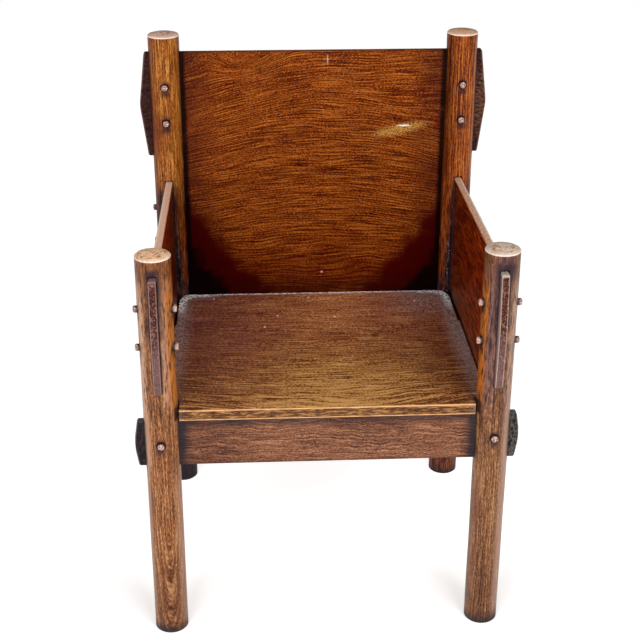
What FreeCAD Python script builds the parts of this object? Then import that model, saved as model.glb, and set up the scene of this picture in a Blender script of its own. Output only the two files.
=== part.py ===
import FreeCAD, Part
import math
import os
import re
import Sketcher
from FreeCAD import Placement, Rotation, Vector

# Pegged plank armchair with four round posts, in millimetres.
# The chair faces -Y and stands on Z = 0, with the origin midway between its four posts.
# Left is -X and right is +X, as seen from the front.

# Driving dimensions
SIZES = {
    # Posts
    "post_spacing_x": 528,
    "post_spacing_y": 484,
    "post_diameter": 55,
    "front_post_rise": 30,
    "rear_post_rise": 32,
    "crown_rise": 4,
    "crown_chamfer": 2,
    "foot_chamfer": 2,
    # Back board
    "back_thickness": 14,
    "back_rise": 216,
    "back_tenon_height": 188,
    "back_edge_round": 2,
    # Side boards, whose tops are the arms
    "side_thickness": 12,
    "arm_rise": 233,
    "side_fall": 18,
    "side_tenon_height": 192,
    "side_edge_round": 2.5,
    # Front apron and rear rail
    "rail_thickness": 14,
    "rail_height": 80,
    "tongue_thickness": 6,
    "tongue_depth": 8,
    "tongue_end_gap": 2,
    # Tenon ends that stand proud of the posts
    "tip_edge_proud": 10.5,
    "tip_ridge_proud": 18.5,
    "ridge_round": 90,
    "tip_corner_round": 3,
    # Seat
    "seat_height": 417,
    "seat_fall": 12,
    "seat_thickness": 19,
    "seat_front_round": 5,
    "seat_rear_gap": 10,
    "seat_side_gap": 0.5,
    "seat_post_gap": 1,
    "seat_corner_gap": 4.5,
    "seat_relief": 3,
    "seat_relief_length": 146,
    # Pegs
    "peg_diameter": 12,
    "peg_proud": 6,
    "peg_chamfer": 2,
    "peg_margin": 57.5,
    "peg_pitch": 64.5,
    "peg_offset": 5,
    "rail_peg_margin": 33,
    "peg_end_cover": 6,
    "peg_end_gap": 0.5,
    # Cleats under the seat
    "cleat_width": 22,
    "cleat_height": 30,
    "cleat_end_gap": 2,
    "cleat_chamfer": 4,
    # Clearances, and how far a cut runs past what it cuts
    "fit_gap": 0.1,
    "shoulder_gap": 0.3,
    "peg_gap": 0.05,
    "overrun": 5,
}

# Sizes worked out from the driving ones
DERIVED = {
    # Heights are stacked on the seat's front edge: arms above the seat, the back board above the
    # arms, and the rim of each post above the board that it holds
    "side_top": "seat_height + arm_rise",
    "back_top": "side_top + back_rise",
    "front_post_height": "side_top + front_post_rise",
    "rear_post_height": "back_top + rear_post_rise",
    "axis_x": "post_spacing_x / 2",
    "axis_y": "post_spacing_y / 2",
    "post_radius": "post_diameter / 2",
    "peg_radius": "peg_diameter / 2",
    "blind_bore_reach": "post_radius - peg_end_cover",
    "inner_x": "axis_x - post_radius",
    "inner_y": "axis_y - post_radius",
    "tip_edge_x": "axis_x + post_radius + tip_edge_proud",
    "tip_edge_y": "axis_y + post_radius + tip_edge_proud",
    "tip_ridge_x": "axis_x + post_radius + tip_ridge_proud",
    "tip_ridge_y": "axis_y + post_radius + tip_ridge_proud",
    "shoulder_x": "inner_x - shoulder_gap",
    "shoulder_y": "inner_y - shoulder_gap",
    # The seat's plane falls to the back. Its under face carries the apron's top edge and the cleats.
    "seat_angle": "atan(seat_fall / post_spacing_y)",
    "seat_front_y": "-axis_y - rail_thickness / 2",
    "under_y": "seat_front_y - seat_thickness * sin(seat_angle)",
    "under_z": "seat_height - seat_thickness * cos(seat_angle)",
    "rail_top": "seat_height - seat_thickness / cos(seat_angle)",
    "rail_bottom": "rail_top - rail_height",
    "rail_peg_z": "rail_top - rail_peg_margin",
    "back_bottom": "rail_top",
    "back_tenon_bottom": "back_top - back_tenon_height",
    "side_slope": "side_fall / post_spacing_y",
    "side_inner_x": "axis_x - side_thickness / 2",
    # Seat outline in the seat's own plane, measured back from its front edge
    "seat_length": "(axis_y - back_thickness / 2 - seat_rear_gap - seat_front_y) / cos(seat_angle)",
    "seat_half_width": "side_inner_x - seat_side_gap",
    "seat_rear_half_width": "seat_half_width - seat_relief",
    "seat_neck_half_width": "inner_x - seat_post_gap",
    "seat_notch_y": "(-inner_y + seat_post_gap - seat_front_y) / cos(seat_angle)",
    "seat_relief_y": "seat_length - seat_relief_length",
    # The rear corners are rounded so far that they clear the rear posts by the corner gap
    "corner_a": "axis_x - seat_rear_half_width",
    "corner_b": "back_thickness / 2 + seat_rear_gap",
    "corner_s": "post_radius + seat_corner_gap",
    "corner_rest": "2 * corner_s * corner_s - 2 * corner_s * (corner_a + corner_b)",
    "seat_corner_round": "corner_s - corner_a - corner_b + sqrt(2 * corner_a * corner_b + corner_rest)",
    # Cleats in the plane of the seat's under face
    "cleat_inner_x": "side_inner_x - cleat_width",
    "cleat_start": "(-inner_y + cleat_end_gap - under_y) / cos(seat_angle)",
    "cleat_end": "(inner_y - cleat_end_gap - under_y) / cos(seat_angle)",
}

WORD = re.compile(r"[a-z][a-z_]*")
SIDES = {"left": -1, "right": 1}
ENDS = {"front": -1, "rear": 1}
LEVELS = {"upper": 0, "lower": 1}
X = Vector(1, 0, 0)
Y = Vector(0, 1, 0)
Z = Vector(0, 0, 1)

# Pegs are whittled eight-sided, so that their corners bite in the round bores
PEG_SIDES = 8

# An arc starts bulging by this share of its chord, before it settles
BULGE_SHARE = 0.2

# Two places closer than this are the same place
TINY = 0.001

doc = FreeCAD.newDocument("armchair")
sheet = doc.addObject("Spreadsheet::Sheet", "Sizes")
for row, (alias, size) in enumerate(SIZES.items(), start=1):
    sheet.set(f"A{row}", alias)
    sheet.set(f"B{row}", str(size))
    sheet.setAlias(f"B{row}", alias)
doc.recompute()

parts = []
cuts = []


def formula(text):
    """Write a formula on the names above as one on the sheet's cells."""
    def cell(match):
        word = match.group(0)
        if word in DERIVED:
            return f"({formula(DERIVED[word])})"
        if word in SIZES:
            return f"Sizes.{word}"
        return word
    return WORD.sub(cell, text)


def bind(item, path, text):
    item.setExpression(path, formula(text))


def signed(side, text):
    return f"{side} * ({text})"


def place(item, x="0", y="0", z="0"):
    bind(item, "Placement.Base.x", x)
    bind(item, "Placement.Base.y", y)
    bind(item, "Placement.Base.z", z)


def turn(item, axis, degrees):
    """Turn a piece about one axis by a number of degrees, or by an angle that a formula gives."""
    if isinstance(degrees, str):
        item.Placement = Placement(Vector(), Rotation(axis, 1))
        bind(item, "Placement.Rotation.Angle", degrees)
    else:
        item.Placement = Placement(Vector(), Rotation(axis, degrees))


def new_body(name):
    body = doc.addObject("PartDesign::Body", name)
    body.Label = name
    parts.append(body)
    return body


def new_sketch(body, name, plane, offset=None):
    """Start a sketch on one of the body's own planes, moved along its normal if asked."""
    sketch = body.newObject("Sketcher::SketchObject", f"{body.Name}_{name}")
    support = next(item for item in body.Origin.OriginFeatures if item.Role == plane)
    sketch.AttachmentSupport = [(support, "")]
    sketch.MapMode = "FlatFace"
    if offset:
        bind(sketch, "AttachmentOffset.Base.z", offset)
    return sketch


def pin_point(sketch, geometry, point, u, v):
    """Hold one point of a sketch, first where it is and then at a place given by two formulas."""
    here = sketch.getPoint(geometry, point)
    for kind, start, text in (("DistanceX", here.x, u), ("DistanceY", here.y, v)):
        index = sketch.addConstraint(Sketcher.Constraint(kind, -1, 1, geometry, point, start))
        bind(sketch, f"Constraints[{index}]", text)


def outline(sketch, corners, start=None, arc=None):
    """Draw a closed outline through corners, each held by its two formulas.

    The corners start on a ring, or where start puts them, and their formulas then pull them into
    place. The side with the number arc bulges outwards, with its centre on the sketch's V axis.
    """
    count = len(corners)
    first = sketch.GeometryCount
    if start is None:
        turns = [2 * math.pi * index / count for index in range(count)]
        start = [(math.cos(angle), math.sin(angle)) for angle in turns]
    points = [Vector(u, v, 0) for u, v in start]
    for index in range(count):
        here = points[index]
        there = points[(index + 1) % count]
        if index == arc:
            along = there - here
            bulge = Vector(along.y, -along.x, 0) * BULGE_SHARE
            sketch.addGeometry(Part.Arc(here, (here + there) / 2 + bulge, there))
            sketch.addConstraint(Sketcher.Constraint("PointOnObject", first + index, 3, -2))
        else:
            sketch.addGeometry(Part.LineSegment(here, there))
    for index in range(count):
        following = first + (index + 1) % count
        sketch.addConstraint(Sketcher.Constraint("Coincident", first + index, 2, following, 1))
    for index, (u, v) in enumerate(corners):
        pin_point(sketch, first + index, 1, u, v)


def box_corners(low_u, low_v, high_u, high_v):
    return [(low_u, low_v), (high_u, low_v), (high_u, high_v), (low_u, high_v)]


def circle(sketch, u, v, radius):
    index = sketch.addGeometry(Part.Circle(Vector(0, 0, 0), Vector(0, 0, 1), 1))
    pin_point(sketch, index, 3, u, v)
    constraint = sketch.addConstraint(Sketcher.Constraint("Radius", index, 1))
    bind(sketch, f"Constraints[{constraint}]", radius)


def pad(body, name, sketch, length, side_type="Symmetric", backwards=False):
    feature = body.newObject("PartDesign::Pad", f"{body.Name}_{name}")
    feature.Profile = sketch
    feature.SideType = side_type
    feature.Reversed = backwards
    bind(feature, "Length", length)
    return feature


def pocket(body, name, sketch, length=None, side_type="Symmetric", backwards=False):
    """Cut to a length, or right through where none is given."""
    feature = body.newObject("PartDesign::Pocket", f"{body.Name}_{name}")
    feature.Profile = sketch
    feature.SideType = side_type
    feature.Reversed = backwards
    if length:
        bind(feature, "Length", length)
    else:
        feature.Type = "ThroughAll"
    cuts.append(feature)
    return feature


def soften(body, name, feature, kind, size, test):
    """Round or chamfer the edges of the body's last feature whose box passes a test."""
    doc.recompute()
    whole = feature.Shape.BoundBox
    names = []
    for number, edge in enumerate(feature.Shape.Edges, start=1):
        if test(edge.BoundBox, whole):
            names.append(f"Edge{number}")
    softened = body.newObject(f"PartDesign::{kind}", f"{body.Name}_{name}")
    softened.Base = (feature, names)
    bind(softened, "Radius" if kind == "Fillet" else "Size", size)
    return softened


def near(a, b):
    return abs(a - b) < TINY


def side_top_at(end):
    """Height of a side board's top edge at the axis of a front or rear post."""
    return "(side_top - side_fall)" if end == "rear" else "side_top"


def side_peg_z(end, level):
    """The pegs lie beside the post's axis, on the side that the tenon comes out of."""
    beside = signed(ENDS[end], "peg_offset * side_slope")
    return f"{side_top_at(end)} - {beside} - peg_margin - {LEVELS[level]} * peg_pitch"


def back_peg_z(level):
    return f"back_top - peg_margin - {LEVELS[level]} * peg_pitch"


def peg_bores(body, name, plane, outward, through, blind):
    """Bore a post across a plane. Outward is 1 where its outer side lies along the plane's normal."""
    if through:
        sketch = new_sketch(body, f"through_outlines_{name}", plane)
        for u, v in through:
            circle(sketch, u, v, "peg_radius + peg_gap")
        pocket(body, f"through_bores_{name}", sketch)
    if blind:
        sketch = new_sketch(body, f"blind_outlines_{name}", plane, signed(-outward, "blind_bore_reach"))
        for u, v in blind:
            circle(sketch, u, v, "peg_radius + peg_gap")
        pocket(body, f"blind_bores_{name}", sketch, side_type="One side", backwards=outward > 0)


# Posts: turned rounds with a mortise right through for each tenon and a bore for each peg

def post_start(end):
    """Where the corners of the post's profile start, close enough for its arc to settle."""
    rises = ["seat_height", "arm_rise", f"{end}_post_rise"]
    if end == "rear":
        rises.append("back_rise")
    height = sum(SIZES[rise] for rise in rises)
    radius = SIZES["post_diameter"] / 2
    rim = radius - SIZES["crown_chamfer"]
    low = SIZES["foot_chamfer"]
    top = height - low
    return [(0, 0), (radius - low, 0), (radius, low), (radius, top), (rim, height), (0, height + low)]


def post(side, end):
    body = new_body(f"{end}_post_{side}")
    height = f"{end}_post_height"
    rim = "post_radius - crown_chamfer"
    corners = [("0", "0"), ("post_radius - foot_chamfer", "0"), ("post_radius", "foot_chamfer")]
    corners += [("post_radius", f"{height} - crown_chamfer"), (rim, height), ("0", f"{height} + crown_rise")]
    sketch = new_sketch(body, "profile", "XZ_Plane")
    outline(sketch, corners, post_start(end), arc=4)
    turning = body.newObject("PartDesign::Revolution", f"{body.Name}_turning")
    turning.Profile = sketch
    turning.ReferenceAxis = (sketch, ["V_Axis"])
    turning.Angle = 360
    reach = "(post_radius + overrun)"
    # Mortises along X take a rail and, on a rear post, the back board
    mortises = [("rail", "rail_bottom", "rail_top", "rail_thickness")]
    if end == "rear":
        mortises.append(("back", "back_tenon_bottom", "back_top", "back_thickness"))
    for tenon, low, high, thickness in mortises:
        sketch = new_sketch(body, f"{tenon}_mortise_outline", "XZ_Plane")
        outline(sketch, box_corners(f"-{reach}", f"{low} - fit_gap", reach, f"{high} + fit_gap"))
        pocket(body, f"{tenon}_mortise", sketch, f"{thickness} + 2 * fit_gap")
    # The mortise along Y takes the side board's tenon, whose edges fall to the back
    sketch = new_sketch(body, "side_mortise_outline", "YZ_Plane")
    top = f"{side_top_at(end)} + fit_gap"
    bottom = f"{side_top_at(end)} - side_tenon_height - fit_gap"
    fall = f"{reach} * side_slope"
    corners = [(f"-{reach}", f"{bottom} + {fall}"), (reach, f"{bottom} - {fall}")]
    corners += [(reach, f"{top} - {fall}"), (f"-{reach}", f"{top} + {fall}")]
    outline(sketch, corners)
    pocket(body, "side_mortise", sketch, "side_thickness + 2 * fit_gap")
    # A bore goes right through, or stops inside the post where a board's edge stands against it
    through_y = [("0", back_peg_z(level)) for level in LEVELS] if end == "rear" else []
    blind_y = [("0", "rail_peg_z")]
    side_pegs = [(signed(ENDS[end], "peg_offset"), side_peg_z(end, level)) for level in LEVELS]
    through_x, blind_x = (side_pegs, []) if end == "front" else ([], side_pegs)
    peg_bores(body, "along_y", "XZ_Plane", -ENDS[end], through_y, blind_y)
    peg_bores(body, "along_x", "YZ_Plane", SIDES[side], through_x, blind_x)
    place(body, signed(SIDES[side], "axis_x"), signed(ENDS[end], "axis_y"))


# Tips of the tenons: the corners are rounded a little, and the ridge between the two slopes a lot

def soften_tips(body, feature, run):
    """Round the edges through the thickness of a board that runs along X or along Y."""
    def through(edge):
        return near(edge.ZLength, 0) and near(edge.XLength if run == X else edge.YLength, 0)

    def set_back(edge, whole):
        if run == X:
            return whole.XMax - abs(edge.Center.x)
        return whole.YMax - abs(edge.Center.y)

    step = SIZES["tip_ridge_proud"] - SIZES["tip_edge_proud"]
    feature = soften(body, "tip_corners", feature, "Fillet", "tip_corner_round",
                     lambda edge, whole: through(edge) and near(set_back(edge, whole), step))
    return soften(body, "tip_ridges", feature, "Fillet", "ridge_round",
                  lambda edge, whole: through(edge) and near(set_back(edge, whole), 0))


# Rails: one board each, full height through the posts, with a peaked tip beyond each

def rail(name, end):
    body = new_body(name)
    middle = "(rail_bottom + rail_top) / 2"
    right = [("tip_edge_x", "rail_bottom"), ("tip_ridge_x", middle), ("tip_edge_x", "rail_top")]
    left = [(f"-({u})", v) for u, v in reversed(right)]
    sketch = new_sketch(body, "outline", "XZ_Plane")
    outline(sketch, right + left)
    feature = pad(body, "board", sketch, "rail_thickness")
    soften_tips(body, feature, X)
    sketch = new_sketch(body, "bore_outlines", "XZ_Plane")
    for side in SIDES.values():
        circle(sketch, signed(side, "axis_x"), "rail_peg_z", "peg_radius + peg_gap")
    pocket(body, "peg_bores", sketch)
    place(body, y=signed(ENDS[end], "axis_y"))
    return body


def front_apron():
    """The apron's top edge is planed to the seat's slope, so that the seat lies flat on it."""
    body = rail("front_apron", "front")
    front = "-rail_thickness / 2"
    rear = "(rail_thickness / 2 + overrun)"
    fall = "(rail_thickness + overrun) * tan(seat_angle)"
    sketch = new_sketch(body, "bevel_outline", "YZ_Plane")
    corners = [(front, "rail_top"), (rear, f"rail_top - {fall}")]
    corners += [(rear, "rail_top + overrun"), (front, "rail_top + overrun")]
    outline(sketch, corners)
    pocket(body, "bevel", sketch)


def rear_rail():
    """The back board stands on this rail, with its tongue in the rail's groove."""
    body = rail("rear_rail", "rear")
    sketch = new_sketch(body, "groove_outline", "XZ_Plane")
    floor = "rail_top - tongue_depth - fit_gap"
    outline(sketch, box_corners("-shoulder_x", floor, "shoulder_x", "rail_top + overrun"))
    pocket(body, "groove", sketch, "tongue_thickness + 2 * fit_gap")


def back_board():
    body = new_body("back_board")
    sketch = new_sketch(body, "panel_outline", "XZ_Plane")
    outline(sketch, box_corners("-shoulder_x", "back_bottom", "shoulder_x", "back_top"))
    feature = pad(body, "panel", sketch, "back_thickness")

    def top_edge(edge, whole):
        return near(edge.ZMin, whole.ZMax) and near(edge.XLength, whole.XLength)

    soften(body, "top_edges", feature, "Fillet", "back_edge_round", top_edge)
    sketch = new_sketch(body, "tenon_outlines", "XZ_Plane")
    middle = "(back_tenon_bottom + back_top) / 2"
    tenon = [("shoulder_x", "back_tenon_bottom"), ("tip_edge_x", "back_tenon_bottom")]
    tenon += [("tip_ridge_x", middle), ("tip_edge_x", "back_top"), ("shoulder_x", "back_top")]
    for side in SIDES.values():
        outline(sketch, [(signed(side, u), v) for u, v in tenon])
    feature = pad(body, "tenons", sketch, "back_thickness")
    soften_tips(body, feature, X)
    sketch = new_sketch(body, "tongue_outline", "XZ_Plane")
    end = "shoulder_x - tongue_end_gap"
    outline(sketch, box_corners(f"-({end})", "back_bottom - tongue_depth", end, "back_bottom"))
    pad(body, "tongue", sketch, "tongue_thickness")
    sketch = new_sketch(body, "bore_outlines", "XZ_Plane")
    for side in SIDES.values():
        for level in LEVELS:
            circle(sketch, signed(side, "axis_x"), back_peg_z(level), "peg_radius + peg_gap")
    pocket(body, "peg_bores", sketch)
    place(body, y="axis_y")


# Side boards: arm, side and seat support in one board, whose top falls to the back

def side_board(side):
    body = new_body(f"side_board_{side}")

    def top_z(y):
        return f"side_top - (({y}) + axis_y) * side_slope"

    sketch = new_sketch(body, "panel_outline", "YZ_Plane")
    corners = [("-shoulder_y", "rail_bottom"), ("shoulder_y", "rail_bottom")]
    corners += [("shoulder_y", top_z("shoulder_y")), ("-shoulder_y", top_z("-shoulder_y"))]
    outline(sketch, corners)
    feature = pad(body, "panel", sketch, "side_thickness")

    def top_edge(edge, whole):
        return edge.ZMin > whole.Center.z and near(edge.YLength, whole.YLength)

    soften(body, "top_edges", feature, "Fillet", "side_edge_round", top_edge)
    sketch = new_sketch(body, "tenon_outlines", "YZ_Plane")
    for end in ENDS.values():
        shoulder = signed(end, "shoulder_y")
        tip = signed(end, "tip_edge_y")
        crest = signed(end, "tip_ridge_y")
        tenon = [(shoulder, f"{top_z(shoulder)} - side_tenon_height")]
        tenon += [(tip, f"{top_z(tip)} - side_tenon_height")]
        tenon += [(crest, f"{top_z(crest)} - side_tenon_height / 2")]
        tenon += [(tip, top_z(tip)), (shoulder, top_z(shoulder))]
        outline(sketch, tenon)
    feature = pad(body, "tenons", sketch, "side_thickness")
    soften_tips(body, feature, Y)
    sketch = new_sketch(body, "bore_outlines", "YZ_Plane")
    for end in ENDS:
        for level in LEVELS:
            y = signed(ENDS[end], "(axis_y + peg_offset)")
            circle(sketch, y, side_peg_z(end, level), "peg_radius + peg_gap")
    pocket(body, "peg_bores", sketch)
    place(body, signed(SIDES[side], "axis_x"))


# Seat: one board notched round the front posts, relieved and rounded towards the rear posts

def seat_board():
    body = new_body("seat_board")
    right = [("seat_neck_half_width", "0"), ("seat_neck_half_width", "seat_notch_y")]
    right += [("seat_half_width", "seat_notch_y"), ("seat_half_width", "seat_relief_y")]
    right += [("seat_rear_half_width", "seat_relief_y + seat_relief")]
    right += [("seat_rear_half_width", "seat_length")]
    left = [(f"-({u})", v) for u, v in reversed(right)]
    sketch = new_sketch(body, "outline", "XY_Plane")
    outline(sketch, right + left)
    feature = pad(body, "board", sketch, "seat_thickness", "One side", backwards=True)

    def rear_corner(edge, whole):
        upright = near(edge.ZLength, whole.ZLength)
        return upright and near(edge.YMin, whole.YMax)

    def front_edge(edge, whole):
        return near(edge.YMax, whole.YMin) and near(edge.ZMin, whole.ZMax)

    feature = soften(body, "rear_corners", feature, "Fillet", "seat_corner_round", rear_corner)
    soften(body, "front_edge", feature, "Fillet", "seat_front_round", front_edge)
    turn(body, X, "-seat_angle")
    place(body, y="seat_front_y", z="seat_height")


# Cleats: battens fixed to the side boards, which carry the sides of the seat

def seat_cleat(side):
    body = new_body(f"seat_cleat_{side}")
    sketch = new_sketch(body, "outline", "XY_Plane")
    inner = signed(SIDES[side], "cleat_inner_x")
    outer = signed(SIDES[side], "side_inner_x")
    outline(sketch, box_corners(inner, "cleat_start", outer, "cleat_end"))
    feature = pad(body, "batten", sketch, "cleat_height", "One side", backwards=True)

    def lower_inner_edge(edge, whole):
        inner_x = whole.XMin if side == "right" else whole.XMax
        lower = near(edge.ZMax, whole.ZMin)
        return lower and near(edge.YLength, whole.YLength) and near(edge.Center.x, inner_x)

    soften(body, "lower_edge", feature, "Chamfer", "cleat_chamfer", lower_inner_edge)
    turn(body, X, "-seat_angle")
    place(body, y="under_y", z="under_z")


# Pegs: driven through post and tenon. One that would meet the edge of a board on the inner side of
# its post stops inside the post.

def peg(name, along, outward, through, x, y, z):
    body = new_body(name)
    inner_end = "-(post_radius + peg_proud)" if through else "-(blind_bore_reach - peg_end_gap)"
    sketch = new_sketch(body, "outline", "XY_Plane", inner_end)
    angles = [360 * (index + 1 / 2) / PEG_SIDES for index in range(PEG_SIDES)]
    outline(sketch, [(f"peg_radius * cos({angle})", f"peg_radius * sin({angle})") for angle in angles])
    feature = pad(body, "rod", sketch, f"post_radius + peg_proud - {inner_end}", "One side")

    def end_edge(edge, whole):
        return near(edge.ZMin, whole.ZMax) or (through and near(edge.ZMax, whole.ZMin))

    soften(body, "ends", feature, "Chamfer", "peg_chamfer", end_edge)
    if along == X:
        turn(body, Y, 90 * outward)
    else:
        turn(body, X, -90 * outward)
    place(body, x, y, z)


def pegs():
    for side, across in SIDES.items():
        x = signed(across, "axis_x")
        peg(f"apron_peg_{side}", Y, ENDS["front"], False, x, "-axis_y", "rail_peg_z")
        peg(f"rear_rail_peg_{side}", Y, ENDS["rear"], False, x, "axis_y", "rail_peg_z")
        for level in LEVELS:
            peg(f"back_peg_{side}_{level}", Y, ENDS["rear"], True, x, "axis_y", back_peg_z(level))
            for end in ENDS:
                y = signed(ENDS[end], "(axis_y + peg_offset)")
                z = side_peg_z(end, level)
                peg(f"{end}_side_peg_{side}_{level}", X, across, end == "front", x, y, z)


for end_name in ENDS:
    for side_name in SIDES:
        post(side_name, end_name)
back_board()
front_apron()
rear_rail()
seat_board()
for side_name in SIDES:
    side_board(side_name)
    seat_cleat(side_name)
pegs()
doc.recompute()

# Nothing is written unless every feature worked, every cut removed wood and every piece is sound
for item in doc.Objects:
    if "Invalid" in item.State or "Error" in item.State:
        raise RuntimeError(f"{item.Name} failed")
for cut in cuts:
    if cut.Shape.Volume >= cut.BaseFeature.Shape.Volume:
        raise RuntimeError(f"{cut.Name} cuts nothing")
for part in parts:
    if part.Shape.isNull() or not part.Shape.isValid():
        raise RuntimeError(f"{part.Label} has no sound shape")

os.makedirs("parts", exist_ok=True)
for part in parts:
    part.Shape.exportStep(f"parts/{part.Label}.step")
print(len(parts), "nodes")
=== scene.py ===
# %% [markdown]
# # A pegged plank armchair
# The chair is made of dark oak. Four round posts hold a back board, two side boards, a seat and two
# rails. Every board that ends in a post goes right through it as a peaked tenon, and whittled pegs
# lock the tenons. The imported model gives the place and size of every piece, so each cell below
# models one kind of piece over its node, gives it a finish, and lets it ride on the chair's body.

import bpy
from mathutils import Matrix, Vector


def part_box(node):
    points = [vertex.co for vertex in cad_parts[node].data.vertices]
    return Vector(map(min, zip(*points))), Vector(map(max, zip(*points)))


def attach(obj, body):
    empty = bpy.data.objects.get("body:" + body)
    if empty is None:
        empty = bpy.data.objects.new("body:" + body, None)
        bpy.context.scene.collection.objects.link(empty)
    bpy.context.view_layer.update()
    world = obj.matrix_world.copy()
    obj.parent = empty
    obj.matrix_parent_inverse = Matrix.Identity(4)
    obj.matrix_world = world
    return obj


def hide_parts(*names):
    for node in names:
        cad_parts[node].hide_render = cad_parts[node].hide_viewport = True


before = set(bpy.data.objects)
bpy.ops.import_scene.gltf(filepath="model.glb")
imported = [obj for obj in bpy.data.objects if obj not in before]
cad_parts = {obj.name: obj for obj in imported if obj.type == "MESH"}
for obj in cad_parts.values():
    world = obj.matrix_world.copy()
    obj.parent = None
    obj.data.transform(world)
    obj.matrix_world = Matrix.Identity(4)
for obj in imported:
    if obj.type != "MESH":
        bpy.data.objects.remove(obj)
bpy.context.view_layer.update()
print("nodes:", len(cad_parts))

# %% Bring in the tools
import math
from functools import reduce

import bmesh
import bpy
from mathutils import Matrix, Vector, noise

SIDES = {"left": -1, "right": 1}
ENDS = {"front": -1, "rear": 1}
LEVELS = ("upper", "lower")

# %% [markdown]
# ## The camera
# The photograph looks down on the chair from a little above a standing person's chest, through a
# lens of about 75 mm. The place and the three angles were found by laying the chair's own corners
# over the picture. A small shift of the lens puts the picture's centre where the photograph has it.

# %% Set up the camera
CAMERA_PLACE = (-0.1098, -2.0995, 1.4387)
TURN_RIGHT = 0.0529
TILT_DOWN = 0.4371
ROLL = 0.0025
FOCAL_SHARE = 1336.797 / 640
CENTRE_SHIFT = (-0.0015, -0.00346)

camera = bpy.data.cameras.new("camera")
camera.sensor_width = 36
camera.lens = FOCAL_SHARE * camera.sensor_width
camera.shift_x, camera.shift_y = CENTRE_SHIFT
camera_object = bpy.data.objects.new("camera", camera)
bpy.context.scene.collection.objects.link(camera_object)
aim = Matrix.Rotation(-TURN_RIGHT, 4, "Z") @ Matrix.Rotation(math.pi / 2 - TILT_DOWN, 4, "X")
camera_object.matrix_world = Matrix.Translation(CAMERA_PLACE) @ aim @ Matrix.Rotation(ROLL, 4, "Z")
bpy.context.scene.camera = camera_object
print("lens:", round(camera.lens, 2), "mm")

# %% [markdown]
# ## Wrapping shader sockets
# A wood finish is mostly sums on positions and noises. Drawing each sum as a chain of Math nodes
# hides the sum, so a small class wraps a socket and lets Python's own signs add the nodes. A second
# class holds one material and adds every other kind of node in one way.

# %% A socket that can be added, multiplied and compared
class Value:
    """The output of a shader node, on which Python's signs add Math nodes."""

    def __init__(self, finish, socket):
        self.finish = finish
        self.socket = socket

    def math(self, operation, *others):
        return self.finish.node("ShaderNodeMath", {"operation": operation}, dict(enumerate((self, *others))))

    def fade(self, start, end):
        """0 at start and 1 at end, smooth between them. Start may be the higher one."""
        values = {"Value": self, "From Min": start, "From Max": end, "To Min": 0, "To Max": 1}
        return self.finish.node("ShaderNodeMapRange", {"interpolation_type": "SMOOTHSTEP"}, values)

    def __rsub__(self, other):
        return self.math("MULTIPLY_ADD", -1, other)


def sign(operation):
    return lambda self, *others: self.math(operation, *others)


SIGNS = {
    "__add__": "ADD", "__radd__": "ADD", "__sub__": "SUBTRACT", "__abs__": "ABSOLUTE",
    "__mul__": "MULTIPLY", "__rmul__": "MULTIPLY", "__truediv__": "DIVIDE", "__pow__": "POWER",
    "at_least": "MAXIMUM", "at_most": "MINIMUM",
}
for name, operation in SIGNS.items():
    setattr(Value, name, sign(operation))
print("signs:", len(SIGNS))


# %% A material and its nodes
def tint(code):
    """A colour as shaders want it, from the six signs that paint shops and web pages use."""
    shares = [int(code[index:index + 2], 16) / 255 for index in (0, 2, 4)]
    linear = [share / 12.92 if share <= 0.04045 else ((share + 0.055) / 1.055) ** 2.4 for share in shares]
    return (*linear, 1)


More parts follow.
